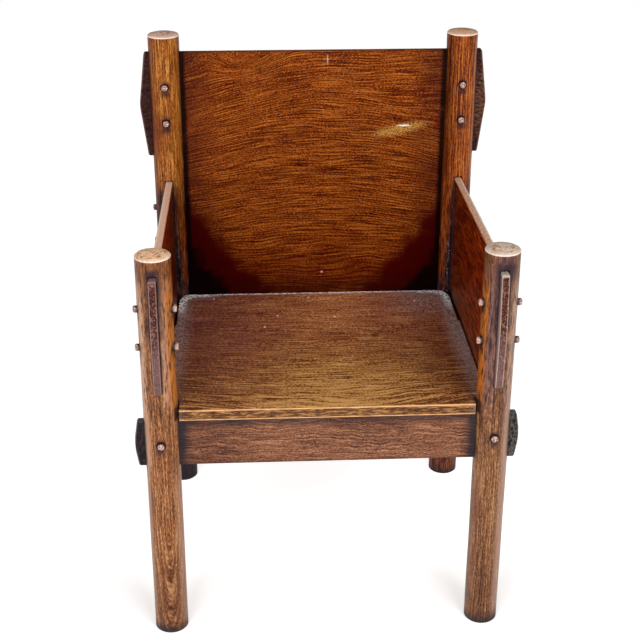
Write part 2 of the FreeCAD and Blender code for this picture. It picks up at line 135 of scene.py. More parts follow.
class Finish:
    """One material, with a single way to add nodes to it."""

    def __init__(self, name):
        self.material = bpy.data.materials.new(name)
        self.material.use_nodes = True
        self.tree = self.material.node_tree
        self.shader = self.tree.nodes["Principled BSDF"]
        self.place = self.node("ShaderNodeTexCoord", output="Object")
        values = {0: self.place}
        self.x, self.y, self.z = [self.node("ShaderNodeSeparateXYZ", {}, values, axis) for axis in "XYZ"]

    def node(self, kind, settings=None, values=None, output=0):
        """Add a node, set it up, fill or link its sockets, and give back one of its outputs."""
        node = self.tree.nodes.new(kind)
        for name, setting in (settings or {}).items():
            if name == "stops":
                ramp = node.color_ramp
                while len(ramp.elements) < len(setting):
                    ramp.elements.new(1)
                for element, (at, colour) in zip(ramp.elements, setting):
                    element.position = at
                    element.color = tint(colour)
            else:
                setattr(node, name, setting)
        for name, value in (values or {}).items():
            self.fill(node.inputs[name], value)
        return Value(self, node.outputs[output])

    def fill(self, socket, value):
        """Link a node to a socket, or set the socket to a number, a place or a colour's code."""
        if isinstance(value, Value):
            self.tree.links.new(value.socket, socket)
        else:
            socket.default_value = tint(value) if isinstance(value, str) else value

    def vector(self, x, y, z):
        return self.node("ShaderNodeCombineXYZ", {}, {"X": x, "Y": y, "Z": z})

    def noise(self, x, y, z, detail=2.0, roughness=0.5):
        """Soft noise from 0 to 1, whose spots are one unit wide along each of the three values."""
        values = {"Vector": self.vector(x, y, z), "Scale": 1, "Detail": detail, "Roughness": roughness}
        return self.node("ShaderNodeTexNoise", {}, values)

    def spots(self, x, y, z, detail=2, roughness=0.5, seed=0):
        """Noise with as many spots side by side in a metre as x, y and z say."""
        return self.noise(self.x * x, self.y * y, self.z * z + seed, detail, roughness)

    def mix(self, first, second, factor, blend="MIX"):
        """A colour between two, or one laid over the other in the way that blend names."""
        settings = {"data_type": "RGBA", "blend_type": blend}
        return self.node("ShaderNodeMix", settings, {0: factor, 6: first, 7: second}, 2)

    def ramp(self, value, stops):
        return self.node("ShaderNodeValToRGB", {"stops": stops}, {0: value})

    def stain(self, colour, amount, blend="MIX"):
        """Lay a colour over the finish so far."""
        self.colour = self.mix(self.colour, colour, amount, blend)

    def mottle(self, value, dark, pale, light="c08868"):
        """Darken the finish where a noise is under a half, and lighten it where it is over."""
        self.stain("080404", ((0.5 - value) * dark).at_least(0).at_most(0.9))
        self.stain(light, ((value - 0.5) * pale).at_least(0).at_most(1), "ADD")

    def vectors(self, operation, first, second=None, output=0):
        values = {0: first} if second is None else {0: first, 1: second}
        return self.node("ShaderNodeVectorMath", {"operation": operation}, values, output)

    def near_box(self, low, high, reach):
        """1 inside a box, fading to 0 at a distance of reach from it."""
        middle = [(a + b) / 2 for a, b in zip(low, high)]
        half = [(b - a) / 2 for a, b in zip(low, high)]
        away = self.vectors("ABSOLUTE", self.vectors("SUBTRACT", self.place, middle))
        away = self.vectors("MAXIMUM", self.vectors("SUBTRACT", away, half), (0, 0, 0))
        return self.vectors("LENGTH", away, output="Value").fade(reach, 0)

    def near_point(self, place, reach, stretch=(1, 1, 1)):
        """1 at a point, fading to 0 at a distance of reach, which stretch shares out on the axes."""
        away = self.vectors("DIVIDE", self.vectors("SUBTRACT", self.place, place), stretch)
        return self.vectors("LENGTH", away, output="Value").fade(reach, 0)

    def give(self, roughness, height, strength=0.25, shine=0.5):
        """Feed the main shader: the colour so far, its roughness, its shine and a bump."""
        self.shader.inputs["Specular IOR Level"].default_value = shine
        bump = {"Strength": strength, "Distance": 0.001, "Height": height}
        bump = self.node("ShaderNodeBump", {}, bump, "Normal")
        self.fill(self.shader.inputs["Base Color"], self.colour)
        self.fill(self.shader.inputs["Roughness"], roughness)
        self.fill(self.shader.inputs["Normal"], bump)
        return self.material


# %% [markdown]
# ## How oak looks
# A board is sawn lengthwise out of a trunk, so its face cuts the yearly rings at a flat angle. The
# rings then show as long pointed arches in the middle of the board and as nearly straight lines
# beside them. Each ring starts with large open pores, which drink the stain and turn dark, and ends
# in dense pale wood. Painting arches would repeat, so the finish works out how far each point lies
# from the heart of the trunk and cuts that distance into rings. Long fibres, short pores and broad
# cloudy patches are noises stretched along the grain.

# %% Streaks, flecks and patches that follow the rings
class Grain:
    """Oak sawn from a trunk whose heart lies beside the board. All lengths are in metres.

    Along runs with the grain, across over the face and deep into the board. The heart lies under
    the place heart on the across axis, at depth, and comes nearer by slope along the board. Fine
    is how many streaks lie side by side in a metre, and fleck how long a fleck is.
    """

    def __init__(self, finish, along, across, deep, seed, heart=0.0, depth=0.05, slope=0.0, wave=0.01,
                 fine=480, fleck=0.004):
        f = finish
        self.finish = f
        sway = f.noise(along * 4, across * 9, deep * 9 + seed, 2) - 0.5
        flutter = f.noise(along * 26, across * 70, deep * 70 + seed, 2) - 0.5
        side = across - heart + sway * wave
        down = deep + depth + along * slope + sway * (2 * wave)
        self.ring = (side * side + down * down) ** 0.5 + flutter * 0.004
        self.rings = (self.ring * (2 * math.pi * fine / 3)).math("SINE") * 0.5
        self.streaks = f.noise(along * 16, self.ring * fine, deep * 12 + seed, 1, 0.5)
        close_lines = 1.3 * fine
        self.flecks = f.noise(along / fleck, across * close_lines, deep * close_lines + seed, 1, 0.6)
        self.fibres = f.noise(along * 60, across * 900, deep * 900 + seed, 2, 0.6)
        self.patches = f.noise(along * 7, across * 26, deep * 26 + seed, 3, 0.55)

    def tone(self, streak_share=1.4, fleck_share=1.6, patch_share=0.5, ring_share=0.15, level=0.5):
        """Dark to light, 0 to 1: long streaks, small flecks between them, even rings and broad clouds."""
        clouds = (self.patches - 0.5) * patch_share + self.rings * ring_share
        return (self.streaks - 0.5) * streak_share + (self.flecks - 0.5) * fleck_share + clouds + level

    def height(self):
        """Relief for the bump: dark streaks are open pores, and the fibres stand between them."""
        return self.fibres * 0.4 + self.flecks * 0.5 + self.streaks * 0.6


def oak(grain, colours, **shares):
    """The wood's colour, from its darkest streak to its palest fleck."""
    return grain.finish.ramp(grain.tone(**shares), list(zip((0.0, 0.3, 0.6, 1.0), colours)))


# %% [markdown]
# ## Modelling by hand, in code
# The cells below work as a person would: add a box or a cylinder at its size and place, pick faces
# or edges, and extrude, inset or bevel them. Picking is by place, so each helper takes a test on
# the middle of a face, edge or corner.

# %% Helpers for modelling
def clear_selection():
    if bpy.context.object and bpy.context.object.mode != "OBJECT":
        bpy.ops.object.mode_set(mode="OBJECT")
    bpy.ops.object.select_all(action="DESELECT")


def only(piece):
    """Leave a piece as the one that is selected and active."""
    clear_selection()
    piece.select_set(True)
    bpy.context.view_layer.objects.active = piece


def settle(piece):
    """Write a piece's place, turn and size into its mesh, so that its object sits at the origin."""
    only(piece)
    bpy.ops.object.transform_apply(location=True, rotation=True, scale=True)
    return piece


def around(x, y, wide, deep, low, high):
    """Both corners of a box that reaches wide and deep to each side of a place, from low to high."""
    return (x - wide, y - deep, low), (x + wide, y + deep, high)


def add_box(name, low, high):
    clear_selection()
    middle = [(a + b) / 2 for a, b in zip(low, high)]
    size = [b - a for a, b in zip(low, high)]
    bpy.ops.mesh.primitive_cube_add(size=1, location=middle, scale=size)
    piece = bpy.context.object
    piece.name = piece.data.name = name
    return settle(piece)


def pick(piece, kind, test):
    """In edit mode, select only the faces, edges or corners whose middle passes a test."""
    if piece.mode != "EDIT":
        only(piece)
        bpy.ops.object.mode_set(mode="EDIT")
    bpy.ops.mesh.select_mode(type=kind)
    bpy.ops.mesh.select_all(action="DESELECT")
    mesh = bmesh.from_edit_mesh(piece.data)
    found = 0
    for item in {"FACE": mesh.faces, "EDGE": mesh.edges, "VERT": mesh.verts}[kind]:
        corners = [item] if kind == "VERT" else item.verts
        middle = sum((corner.co for corner in corners), Vector()) / len(corners)
        spread = [max(c.co[i] for c in corners) - min(c.co[i] for c in corners) for i in range(3)]
        if test(middle, spread):
            item.select_set(True)
            found += 1
    bmesh.update_edit_mesh(piece.data)
    return found


def push(*way):
    bpy.ops.transform.translate(value=way)


def extrude(*way):
    bpy.ops.mesh.extrude_region_move(TRANSFORM_OT_translate={"value": way})


def close(a, b, gap=1e-5):
    return abs(a - b) < gap


def cut(piece, cutters):
    """Cut other shapes out of a piece, and remove them."""
    for cutter in cutters:
        only(piece)
        modifier = piece.modifiers.new("cut", "BOOLEAN")
        modifier.operation = "DIFFERENCE"
        modifier.solver = "EXACT"
        modifier.object = cutter
        bpy.ops.object.modifier_apply(modifier=modifier.name)
        bpy.data.objects.remove(cutter)


def ease_edges(piece, width, segments=3, angle=30):
    """Take the sharpness off every edge, and shade the faces smoothly."""
    only(piece)
    modifier = piece.modifiers.new("ease", "BEVEL")
    modifier.width = width
    modifier.segments = segments
    modifier.limit_method = "ANGLE"
    modifier.angle_limit = math.radians(angle)
    bpy.ops.object.modifier_apply(modifier=modifier.name)
    shade(piece)


def shade(piece, angle=40):
    only(piece)
    bpy.ops.object.shade_smooth_by_angle(angle=math.radians(angle))
    modifier = piece.modifiers.new("even", "WEIGHTED_NORMAL")
    modifier.keep_sharp = True
    bpy.ops.object.modifier_apply(modifier=modifier.name)


def dress(piece, material):
    """Give a piece its finish, and let it ride on the chair's body."""
    clear_selection()
    piece.data.materials.clear()
    piece.data.materials.append(material)
    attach(piece, "root")


def put_in(piece, node, material):
    """Dress a piece, and let it stand for its node."""
    dress(piece, material)
    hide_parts(node)
    triangles = sum(len(face.vertices) - 2 for face in piece.data.polygons)
    print(piece.name, "for", node, "triangles", triangles)


# %% [markdown]
# ## Sizes that the boxes don't give
# A node's box gives its outer reach. What lies between, such as where a tenon starts, is named here.

# %% Name the sizes
POST_X = 0.264
POST_Y = 0.242
POST_R = 0.0275
SHOULDER_X = 0.2362
BACK_SHOULDER_X = 0.2371
SHOULDER_Y = 0.2142
TIP_X = 0.302
TIP_Y = 0.280
RIDGE_Y = 0.288
RAIL_LOW, RAIL_HIGH = 0.318, 0.398
BACK_THICK = 0.014
TONGUE_THICK = 0.006
TONGUE_DEEP = 0.008
TONGUE_GAP = 0.0003
BACK_TENON = (0.678, 0.866)
SIDE_THICK = 0.012
SIDE_TOP = 0.650
SIDE_TENON = 0.192
SIDE_SLOPE = 0.018 / 0.484
RIM = {"front": 0.680, "rear": 0.898}
PEG_R = 0.006
PEG_PROUD = 0.006
PEG_OFFSET = 0.005
PEG_DROPS = (0.0575, 0.122)
RAIL_PEG_Z = 0.365
BLIND_REACH = 0.021
EDGE = 0.0014


def side_top(y):
    """Height of a side board's top edge."""
    return SIDE_TOP - SIDE_SLOPE * (y + POST_Y)


def tenons_across(end):
    """Lower and upper edge of each tenon that comes through a post from the side."""
    return [(RAIL_LOW, RAIL_HIGH)] + ([BACK_TENON] if end == "rear" else [])


print("arms:", SIDE_TOP, "to", round(side_top(POST_Y), 3))


# %% [markdown]
# ## The posts
# A post is a round of about 55 mm, shaved by hand, with its top and foot chamfered and its crown
# slightly domed. It starts as a cylinder. The chamfers and the dome are insets that also rise. The
# sides are subdivided and moved a little by noise, because a hand-shaved round is never quite true.
# The mortises and the peg bores are cut last.

# %% Turn a post
POST_FACES = 72
RINGS_UP = 47
DOME_STEP = 0.005
CHAMFER = 0.002
CROWN = 0.004
UNEVEN = 0.0004


def make_post(side, end):
    x, y, rim = SIDES[side] * POST_X, ENDS[end] * POST_Y, RIM[end]
    clear_selection()
    size = {"radius": POST_R, "depth": rim - 2 * CHAMFER}
    bpy.ops.mesh.primitive_cylinder_add(vertices=POST_FACES, location=(x, y, rim / 2), **size)
    post = bpy.context.object
    post.name = post.data.name = f"{end}_post_{side}_oak"
    settle(post)
    pick(post, "FACE", lambda m, s: close(m.z, rim - CHAMFER))
    bpy.ops.mesh.inset(thickness=CHAMFER, depth=CHAMFER)
    radius = POST_R - CHAMFER
    ball = radius ** 2 / (2 * CROWN)
    while radius > 1.2 * DOME_STEP:
        rise = (radius ** 2 - (radius - DOME_STEP) ** 2) / (2 * ball)
        bpy.ops.mesh.inset(thickness=DOME_STEP, depth=rise)
        radius -= DOME_STEP
    pick(post, "FACE", lambda m, s: close(m.z, CHAMFER))
    bpy.ops.mesh.inset(thickness=CHAMFER, depth=CHAMFER)
    pick(post, "EDGE", lambda m, s: s[2] > rim / 2)
    bpy.ops.mesh.subdivide(number_cuts=RINGS_UP)
    bpy.ops.object.mode_set(mode="OBJECT")
    axis = Vector((x, y, 0))
    for corner in post.data.vertices:
        out = corner.co - axis
        out.z = 0
        if out.length > POST_R / 2:
            where = Vector((out.x * 30, out.y * 30, corner.co.z * 9)) + axis * 50
            corner.co += out.normalized() * noise.noise(where) * UNEVEN
    return post


BORE_GAP = 0.0004
BORE_LONG = 0.03
MORTISE_GAP = 0.0005


def bore(x, y, z, along):
    """A cutter for a peg's hole that runs along X or Y, from the point given."""
    clear_selection()
    turned = (0, math.pi / 2, 0) if along == "X" else (math.pi / 2, 0, 0)
    size = {"radius": PEG_R + BORE_GAP, "depth": BORE_LONG}
    bpy.ops.mesh.primitive_cylinder_add(vertices=32, location=(x, y, z), rotation=turned, **size)
    return settle(bpy.context.object)


def mortise(low, high):
    """A cutter a hair larger than the tenon that comes through."""
    return add_box("mortise", [a - MORTISE_GAP for a in low], [b + MORTISE_GAP for b in high])


# %% Where each peg sits
def peg_places():
    """For each peg: its point on the post's axis, its direction, its outward sign, and if it goes through."""
    found = {}
    for side, across in SIDES.items():
        x = across * POST_X
        found[f"apron_peg_{side}"] = (x, -POST_Y, RAIL_PEG_Z, "Y", -1, False)
        found[f"rear_rail_peg_{side}"] = (x, POST_Y, RAIL_PEG_Z, "Y", 1, False)
        for level, drop in zip(LEVELS, PEG_DROPS):
            found[f"back_peg_{side}_{level}"] = (x, POST_Y, BACK_TENON[1] - drop, "Y", 1, True)
            for end, way in ENDS.items():
                y = way * (POST_Y + PEG_OFFSET)
                z = side_top(y) - drop
                found[f"{end}_side_peg_{side}_{level}"] = (x, y, z, "X", across, end == "front")
    return found


PEGS = peg_places()
for name, (x, y, z, along, out, through) in PEGS.items():
    low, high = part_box(name)
    middle = (low + high) / 2
    assert close(middle.z, z, 0.0002), (name, middle, z)
print("pegs:", len(PEGS))


# %% Cut the joints into a post
SLOT_GAP = 0.0028
CUT_REACH = 0.04


def pegs_of(side, end):
    """The places of all pegs in one post."""
    y = ENDS[end] * POST_Y
    return [place for name, place in PEGS.items() if side in name and abs(place[1] - y) < POST_R]


def joint_cutters(side, end):
    x, y = SIDES[side] * POST_X, ENDS[end] * POST_Y
    cutters = []
    for low, high in tenons_across(end):
        cutters.append(mortise(*around(x, y, CUT_REACH, BACK_THICK / 2, low, high)))
    low, high = side_top(y) - SIDE_TENON, side_top(y) + SLOT_GAP
    slot = mortise(*around(x, y, SIDE_THICK / 2, CUT_REACH, low, high))
    for corner in slot.data.vertices:
        corner.co.z -= SIDE_SLOPE * (corner.co.y - y)
    cutters.append(slot)
    for px, py, pz, along, out, through in pegs_of(side, end):
        for way in (out, -out) if through else (out,):
            reach = way * POST_R
            hole = (px + reach, py, pz) if along == "X" else (px, py + reach, pz)
            cutters.append(bore(*hole, along))
    return cutters


posts = {}
for end in ENDS:
    for side in SIDES:
        post = make_post(side, end)
        cut(post, joint_cutters(side, end))
        shade(post, 35)
        posts[side, end] = post
print("posts:", len(posts))

# %% [markdown]
# ## Boards and their peaked tenons
# Each board starts as a box. A tenon is a piece of its end pulled outwards. The tip of a tenon is
# peaked: its edge is split at half height, the middle is pulled out further, and the ridge and the
# corners are rounded with bevels, the way a maker would take them off with a spokeshave.

# %% Pull out a tenon
RIDGE_TANGENT = 0.018
CORNER_TANGENT = 0.003


def pull_tenon(board, axis, sign, low, high, shoulder, tip, ridge, tangent=RIDGE_TANGENT):
    """Pull a tenon out of a board's end, along X (axis 0) or Y (axis 1), and peak its tip."""
    way = Vector((0, 0, 0))
    way[axis] = sign
    middle_z = (low + high) / 2

    def at(place, reach):
        return close(place[axis] * sign, reach, 1e-4)

    pick(board, "FACE", lambda m, s: at(m, shoulder) and low < m.z < high and s[axis] < 1e-4)
    extrude(*(way * (tip - shoulder)))
    pick(board, "EDGE", lambda m, s: at(m, tip) and s[2] > 0.9 * (high - low))
    bpy.ops.mesh.subdivide(number_cuts=1)
    pick(board, "VERT", lambda m, s: at(m, tip) and close(m.z, middle_z, 1e-3))
    push(*(way * (ridge - tip)))
    thin = 1 - axis

    def is_across(place, spread, reach):
        return place[axis] * sign > reach and spread[thin] > 0.005

    pick(board, "EDGE", lambda m, s: is_across(m, s, tip - 1e-4) and abs(m.z - middle_z) > 0.02)
    bpy.ops.mesh.bevel(offset=CORNER_TANGENT, segments=3, affect="EDGES")
    pick(board, "EDGE", lambda m, s: is_across(m, s, ridge - 1e-3) and close(m.z, middle_z, 1e-3))
    bpy.ops.mesh.bevel(offset=tangent, segments=8, affect="EDGES")


# %% The back board, with its tongue in the rear rail
BACK_TIP_X = 0.2995
BACK_RIDGE_X = 0.311
BACK_TANGENT = 0.009


def make_back():
    low, high = BACK_TENON
    reach = BACK_SHOULDER_X
    board = add_box("back_board_oak", *around(0, POST_Y, reach, BACK_THICK / 2, low, high))
    pick(board, "FACE", lambda m, s: close(m.z, low) and s[2] < 1e-5)
    extrude(0, 0, RAIL_HIGH - low)
    bpy.ops.mesh.inset(thickness=(BACK_THICK - TONGUE_THICK) / 2)
    extrude(0, 0, -TONGUE_DEEP)
    for sign in (-1, 1):
        pull_tenon(board, 0, sign, low, high, reach, BACK_TIP_X, BACK_RIDGE_X, BACK_TANGENT)
    bpy.ops.object.mode_set(mode="OBJECT")
    ease_edges(board, EDGE)
    return board


back = make_back()
print("back board:", [round(side, 3) for side in back.dimensions])


# %% The apron and the rear rail
RAIL_RIDGE_X = 0.3084
GROOVE_END = 0.001


def make_rail(name, y):
    rail = add_box(name, *around(0, y, SHOULDER_X, BACK_THICK / 2, RAIL_LOW, RAIL_HIGH))
    for sign in (-1, 1):
        pull_tenon(rail, 0, sign, RAIL_LOW, RAIL_HIGH, SHOULDER_X, TIP_X, RAIL_RIDGE_X)
    bpy.ops.object.mode_set(mode="OBJECT")
    return rail


def cut_groove(rail):
    """The groove in the rear rail that takes the back board's tongue."""
    reach, half = SHOULDER_X - GROOVE_END, TONGUE_THICK / 2 + TONGUE_GAP
    bottom = RAIL_HIGH - TONGUE_DEEP - TONGUE_GAP
    cut(rail, [add_box("groove", *around(0, POST_Y, reach, half, bottom, RAIL_HIGH + 0.01))])


apron = make_rail("front_apron_oak", -POST_Y)
rear_rail = make_rail("rear_rail_oak", POST_Y)
cut_groove(rear_rail)
for rail in (apron, rear_rail):
    ease_edges(rail, EDGE)
print("rails:", [round(side, 3) for side in apron.dimensions])


# %% A side board, whose sloping top is the arm
SIDE_EDGE = 0.0018


def make_side(side):
    x = SIDES[side] * POST_X
    low, high = SIDE_TOP - SIDE_TENON, SIDE_TOP
    board = add_box(f"side_board_{side}_oak", *around(x, 0, SIDE_THICK / 2, SHOULDER_Y, low, high))
    pick(board, "FACE", lambda m, s: close(m.z, low) and s[2] < 1e-5)
    extrude(0, 0, RAIL_LOW - low)
    for sign in (-1, 1):
        pull_tenon(board, 1, sign, low, high, SHOULDER_Y, TIP_Y, RIDGE_Y)
    bpy.ops.object.mode_set(mode="OBJECT")
    for corner in board.data.vertices:
        if corner.co.z > RAIL_LOW + 0.01:
            corner.co.z -= SIDE_SLOPE * (corner.co.y + POST_Y)
    ease_edges(board, SIDE_EDGE)
    return board


side_boards = {side: make_side(side) for side in SIDES}
print("side boards:", [round(side, 3) for side in side_boards["left"].dimensions])

# %% [markdown]
# ## The seat
# One broad board, let in between the side boards and notched round the front posts. Its rear corners
# are rounded so that they clear the rear posts, and it is a hair narrower towards the back. It is
# modelled flat, then tilted, because a seat falls a little to the back.

# %% Shape the seat
SEAT_SLOPE = 0.012 / 0.484
SEAT_TILT = math.atan(SEAT_SLOPE)
SEAT_FRONT = -0.249
SEAT_HIGH = 0.417
SEAT_THICK = 0.019
SEAT_HALF = 0.2575
SEAT_NECK = 0.2355
SEAT_NOTCH = 0.0355
SEAT_LONG = 0.4741
SEAT_RELIEF = 0.003
SEAT_RELIEF_FROM = 0.328
SEAT_CORNER = 0.0405
SEAT_NOSE = 0.005
SEAT_EDGE = 0.0012


def make_seat():
    seat = add_box("seat_board_oak", (-SEAT_NECK, 0, -SEAT_THICK), (SEAT_NECK, SEAT_LONG, 0))
    only(seat)
    bpy.ops.object.mode_set(mode="EDIT")
    for at in (SEAT_NOTCH, SEAT_RELIEF_FROM, SEAT_RELIEF_FROM + SEAT_RELIEF):
        bpy.ops.mesh.select_all(action="SELECT")
        bpy.ops.mesh.bisect(plane_co=(0, at, 0), plane_no=(0, 1, 0))
    for sign in (-1, 1):
        pick(seat, "FACE", lambda m, s: close(m.x * sign, SEAT_NECK) and m.y > SEAT_NOTCH and s[0] < 1e-5)
        extrude(sign * (SEAT_HALF - SEAT_NECK), 0, 0)
        rear = SEAT_RELIEF_FROM + SEAT_RELIEF / 2
        pick(seat, "VERT", lambda m, s: close(m.x * sign, SEAT_HALF) and m.y > rear)
        push(-sign * SEAT_RELIEF, 0, 0)
    tall = SEAT_THICK / 2
    pick(seat, "EDGE", lambda m, s: close(m.y, SEAT_LONG) and s[2] > tall and abs(m.x) > SEAT_NECK)
    bpy.ops.mesh.bevel(offset=SEAT_CORNER, segments=12, affect="EDGES")
    pick(seat, "EDGE", lambda m, s: close(m.y, 0) and close(m.z, 0) and s[0] > SEAT_NECK)
    bpy.ops.mesh.bevel(offset=SEAT_NOSE, segments=4, affect="EDGES")
    bpy.ops.object.mode_set(mode="OBJECT")
    ease_edges(seat, SEAT_EDGE, angle=40)
    seat.rotation_euler.x = -SEAT_TILT
    seat.location = (0, SEAT_FRONT, SEAT_HIGH)
    return settle(seat)


seat = make_seat()
print("seat:", [round(side, 3) for side in seat.dimensions])

# %% [markdown]
# ## Pegs
# The pegs are split from straight oak and whittled eight-sided, so that their corners bite in the
# round bores. Their ends are eased with a knife. One peg of each length is modelled, lying along Z,
# and copied into its places with a small turn of its own, as nobody lines pegs up.

# %% Whittle the pegs
PEG_SIDES = 8
PEG_CHAMFER = 0.0019
PEG_EDGE = 0.0005
PEG_TURN = 2.4


def whittle(name, length):
    clear_selection()
    size = {"radius": PEG_R - 0.0001, "depth": length}
    bpy.ops.mesh.primitive_cylinder_add(vertices=PEG_SIDES, location=(0, 0, 0), **size)
    peg = bpy.context.object
    peg.name = peg.data.name = name
    settle(peg)
    pick(peg, "EDGE", lambda m, s: close(abs(m.z), length / 2))
    bpy.ops.mesh.bevel(offset=PEG_CHAMFER, segments=2, affect="EDGES")
    bpy.ops.object.mode_set(mode="OBJECT")
    ease_edges(peg, PEG_EDGE, 2, 25)
    return peg


def copy_peg(pattern, name, turn, place, spin):
    only(pattern)
    bpy.ops.object.duplicate(linked=False)
    peg = bpy.context.object
    peg.name = peg.data.name = name
    peg.matrix_world = Matrix.Translation(place) @ turn @ Matrix.Rotation(spin, 4, "Z")
    return settle(peg)


long_peg = whittle("long_peg", 2 * (POST_R + PEG_PROUD))
short_peg = whittle("short_peg", POST_R + PEG_PROUD + BLIND_REACH)
pegs = {}
for number, (name, (x, y, z, along, out, through)) in enumerate(PEGS.items()):
    angle, axis = (out, "Y") if along == "X" else (-out, "X")
    turn = Matrix.Rotation(angle * math.pi / 2, 4, axis)
    slide = 0 if through else (POST_R + PEG_PROUD - BLIND_REACH) / 2
    place = Vector((x, y, z)) + turn @ Vector((0, 0, slide))
    pattern = long_peg if through else short_peg
    pegs[name] = copy_peg(pattern, f"{name}_oak", turn, place, number * PEG_TURN)
for pattern in (long_peg, short_peg):
    bpy.data.objects.remove(pattern)
print("pegs:", len(pegs))

# %% [markdown]
# ## Pegs of the cleats
# Under the seat a batten, or cleat, is fixed on each side board, and the seat rests on both. The
# photograph doesn't show how they are fixed. Three short pegs through each batten, as all the other
# joints have, are the likely way. Their heads are trimmed almost flush with a chisel.

# %% Drive the cleats' pegs
CLEAT_DROP = 0.015
CLEAT_PROUD = 0.0008
CLEAT_PLACES = (-0.16, 0.0, 0.16)
CLEAT_TURN = 1.7
cleat_low, cleat_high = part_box("seat_cleat_right")
cleat_peg = whittle("cleat_peg", cleat_high.x - cleat_low.x)
cleat_pegs = []
turn = Matrix.Rotation(math.pi / 2, 4, "Y")
for side, across in SIDES.items():
    x = across * ((cleat_low.x + cleat_high.x) / 2 - CLEAT_PROUD)
    for number, y in enumerate(CLEAT_PLACES):
        z = cleat_high.z - CLEAT_DROP - (y - cleat_low.y) * SEAT_SLOPE
        name = f"cleat_peg_{side}_{number + 1}"
        cleat_pegs.append(copy_peg(cleat_peg, name, turn, (x, y, z), number * CLEAT_TURN))
bpy.data.objects.remove(cleat_peg)
print("cleat pegs:", len(cleat_pegs))

# %% [markdown]
# ## The finish of the posts
# The posts are the palest wood of the chair: orange brown with long streaks. Round every joint the
# old stain and years of dirt have left dark purple marks, and black lines of painted shade edge the
# joints. Each foot darkens towards the floor, the rear legs most, as painted shade under the seat.
# Pale bands of painted highlight run down the flanks, and painted shade darkens the edges and the
# rear posts below the arms.

# %% Find the joints of a post
SEAT_LINE = 0.405
MARK_REACH = 0.012
LINE_REACH = 0.0026


def joint_marks(f, side, end):
    """1 at the edges of the mortises and round the pegs of a post, fading over a few millimetres.

    A second value is 1 right beside the tenons, where the seat meets a front post, and in a ring
    round each peg. Beside the tenons and the seat it is painted shade, which turns the joints to black lines.
    """
    x, y = SIDES[side] * POST_X, ENDS[end] * POST_Y
    out_x, out_y = x + SIDES[side] * POST_R, y + ENDS[end] * POST_R
    top, half = side_top(y), SIDE_THICK / 2
    marks = [f.near_box(*around(x, out_y, half, 0.01, top - SIDE_TENON / 2, top + 0.008), MARK_REACH)]
    lines = [f.near_box(*around(x, y, half, POST_R, top - SIDE_TENON, top + SLOT_GAP), LINE_REACH)]
    half = BACK_THICK / 2
    for low, high in tenons_across(end):
        marks.append(f.near_box(*around(out_x, y, 0.01, half, low, high), 0.010))
        lines.append(f.near_box(*around(x, y, POST_R, half, low, high), LINE_REACH))
    for px, py, pz, along, out, through in pegs_of(side, end):
        wide, deep = (0.03, 0.001) if along == "X" else (0.001, 0.03)
        marks.append(f.near_box(*around(px, py, wide, deep, pz - 0.012, pz + 0.004), MARK_REACH))
        lines.append(f.near_box(*around(px, py, wide, deep, pz, pz), 2 * PEG_R).fade(0.22, 0.5))
    if end == "front":
        inner_x = x - SIDES[side] * POST_R
        box = around(inner_x, y + 0.003, 0.004, 0.017, SEAT_LINE, SEAT_LINE + 0.018)
        lines.append(f.near_box(*box, 0.006))
    return reduce(Value.at_least, marks), reduce(Value.at_least, lines)


# %% Colours of the posts
ARCH_TOP = 0.21
ARCH_SHARE = 0.10
ARCH_X = 0.004
POST_COLOURS = {
    ("left", "front"): ("3a1806", "683716", "905930", "c28e60"),
    ("right", "front"): ("341809", "5a341d", "80502c", "b2845c"),
    ("left", "rear"): ("4a1c03", "763a0a", "a05a18", "cc9048"),
    ("right", "rear"): ("381000", "682a04", "92440e", "b86c2a"),
}
# Bands down a post: pale ones along the flanks are painted highlights, dark ones along the edges and
# beside the rear posts' arm joints are painted shade, and the orange and red ones are streaks of
# colour. Each gives from and to where it grows across the post, its heights, its colour and strength
BAND_FADE = 0.05
POST_BANDS_AND_PAINTED_LIGHT = {
    ("left", "front"): [
        (-0.015, -0.022, 0.30, 0.68, "e0b49c", 0.4),
        (0.004, -0.014, 0.60, 0.70, "78481c", 0.4),
        (0.004, 0.010, 0.41, 0.66, "d09878", 0.5),
        (0.015, 0.019, 0.40, 0.66, "b06418", 0.85),
        (-0.017, -0.026, 0.0, 0.40, "c09678", 0.4),
        (0.013, 0.024, 0.0, 0.32, "c09678", 0.35),
    ],
    ("right", "front"): [
        (0.008, 0.020, 0.0, 0.66, "c8a08c", 0.45),
        (-0.004, -0.010, 0.40, 0.68, "6c4a4e", 0.55),
        (-0.018, -0.0225, 0.40, 0.66, "b06018", 0.9),
        (-0.014, -0.024, 0.0, 0.34, "8a5c44", 0.3),
    ],
    ("left", "rear"): [
        (-0.014, -0.026, 0.0, 0.90, "c07838", 0.2),
        (0.030, -0.005, 0.66, 0.80, "6a2c00", 0.45),
        (0.010, 0.026, 0.60, 0.90, "90501c", 0.4),
        (-0.008, -0.020, 0.60, 0.92, "561606", 0.5),
        (0.0235, 0.0262, 0.60, 0.92, "301016", 0.6),
        (0.017, 0.009, 0.34, 0.64, "240a14", 0.9),
        (0.014, 0.019, 0.34, 0.60, "a83808", 0.6),
        (0.0235, 0.0262, 0.34, 0.66, "200806", 0.7),
    ],
    ("right", "rear"): [
        (0.020, 0.025, 0.60, 0.92, "dca48c", 0.45),
        (-0.012, -0.022, 0.60, 0.92, "3c0c04", 0.65),
        (-0.011, -0.016, 0.34, 0.60, "b86020", 0.4),
        (-0.016, -0.0095, 0.34, 0.62, "140c1c", 0.95),
        (-0.023, -0.0262, 0.34, 0.66, "200806", 0.7),
        (0.012, 0.024, 0.0, 0.40, "b09a98", 0.4),
    ],
}
CROWN_COLOURS = {
    ("left", "front"): "fccca4",
    ("right", "front"): "dccab8",
    ("left", "rear"): "dcb8a8",
    ("right", "rear"): "dcb08c",
}


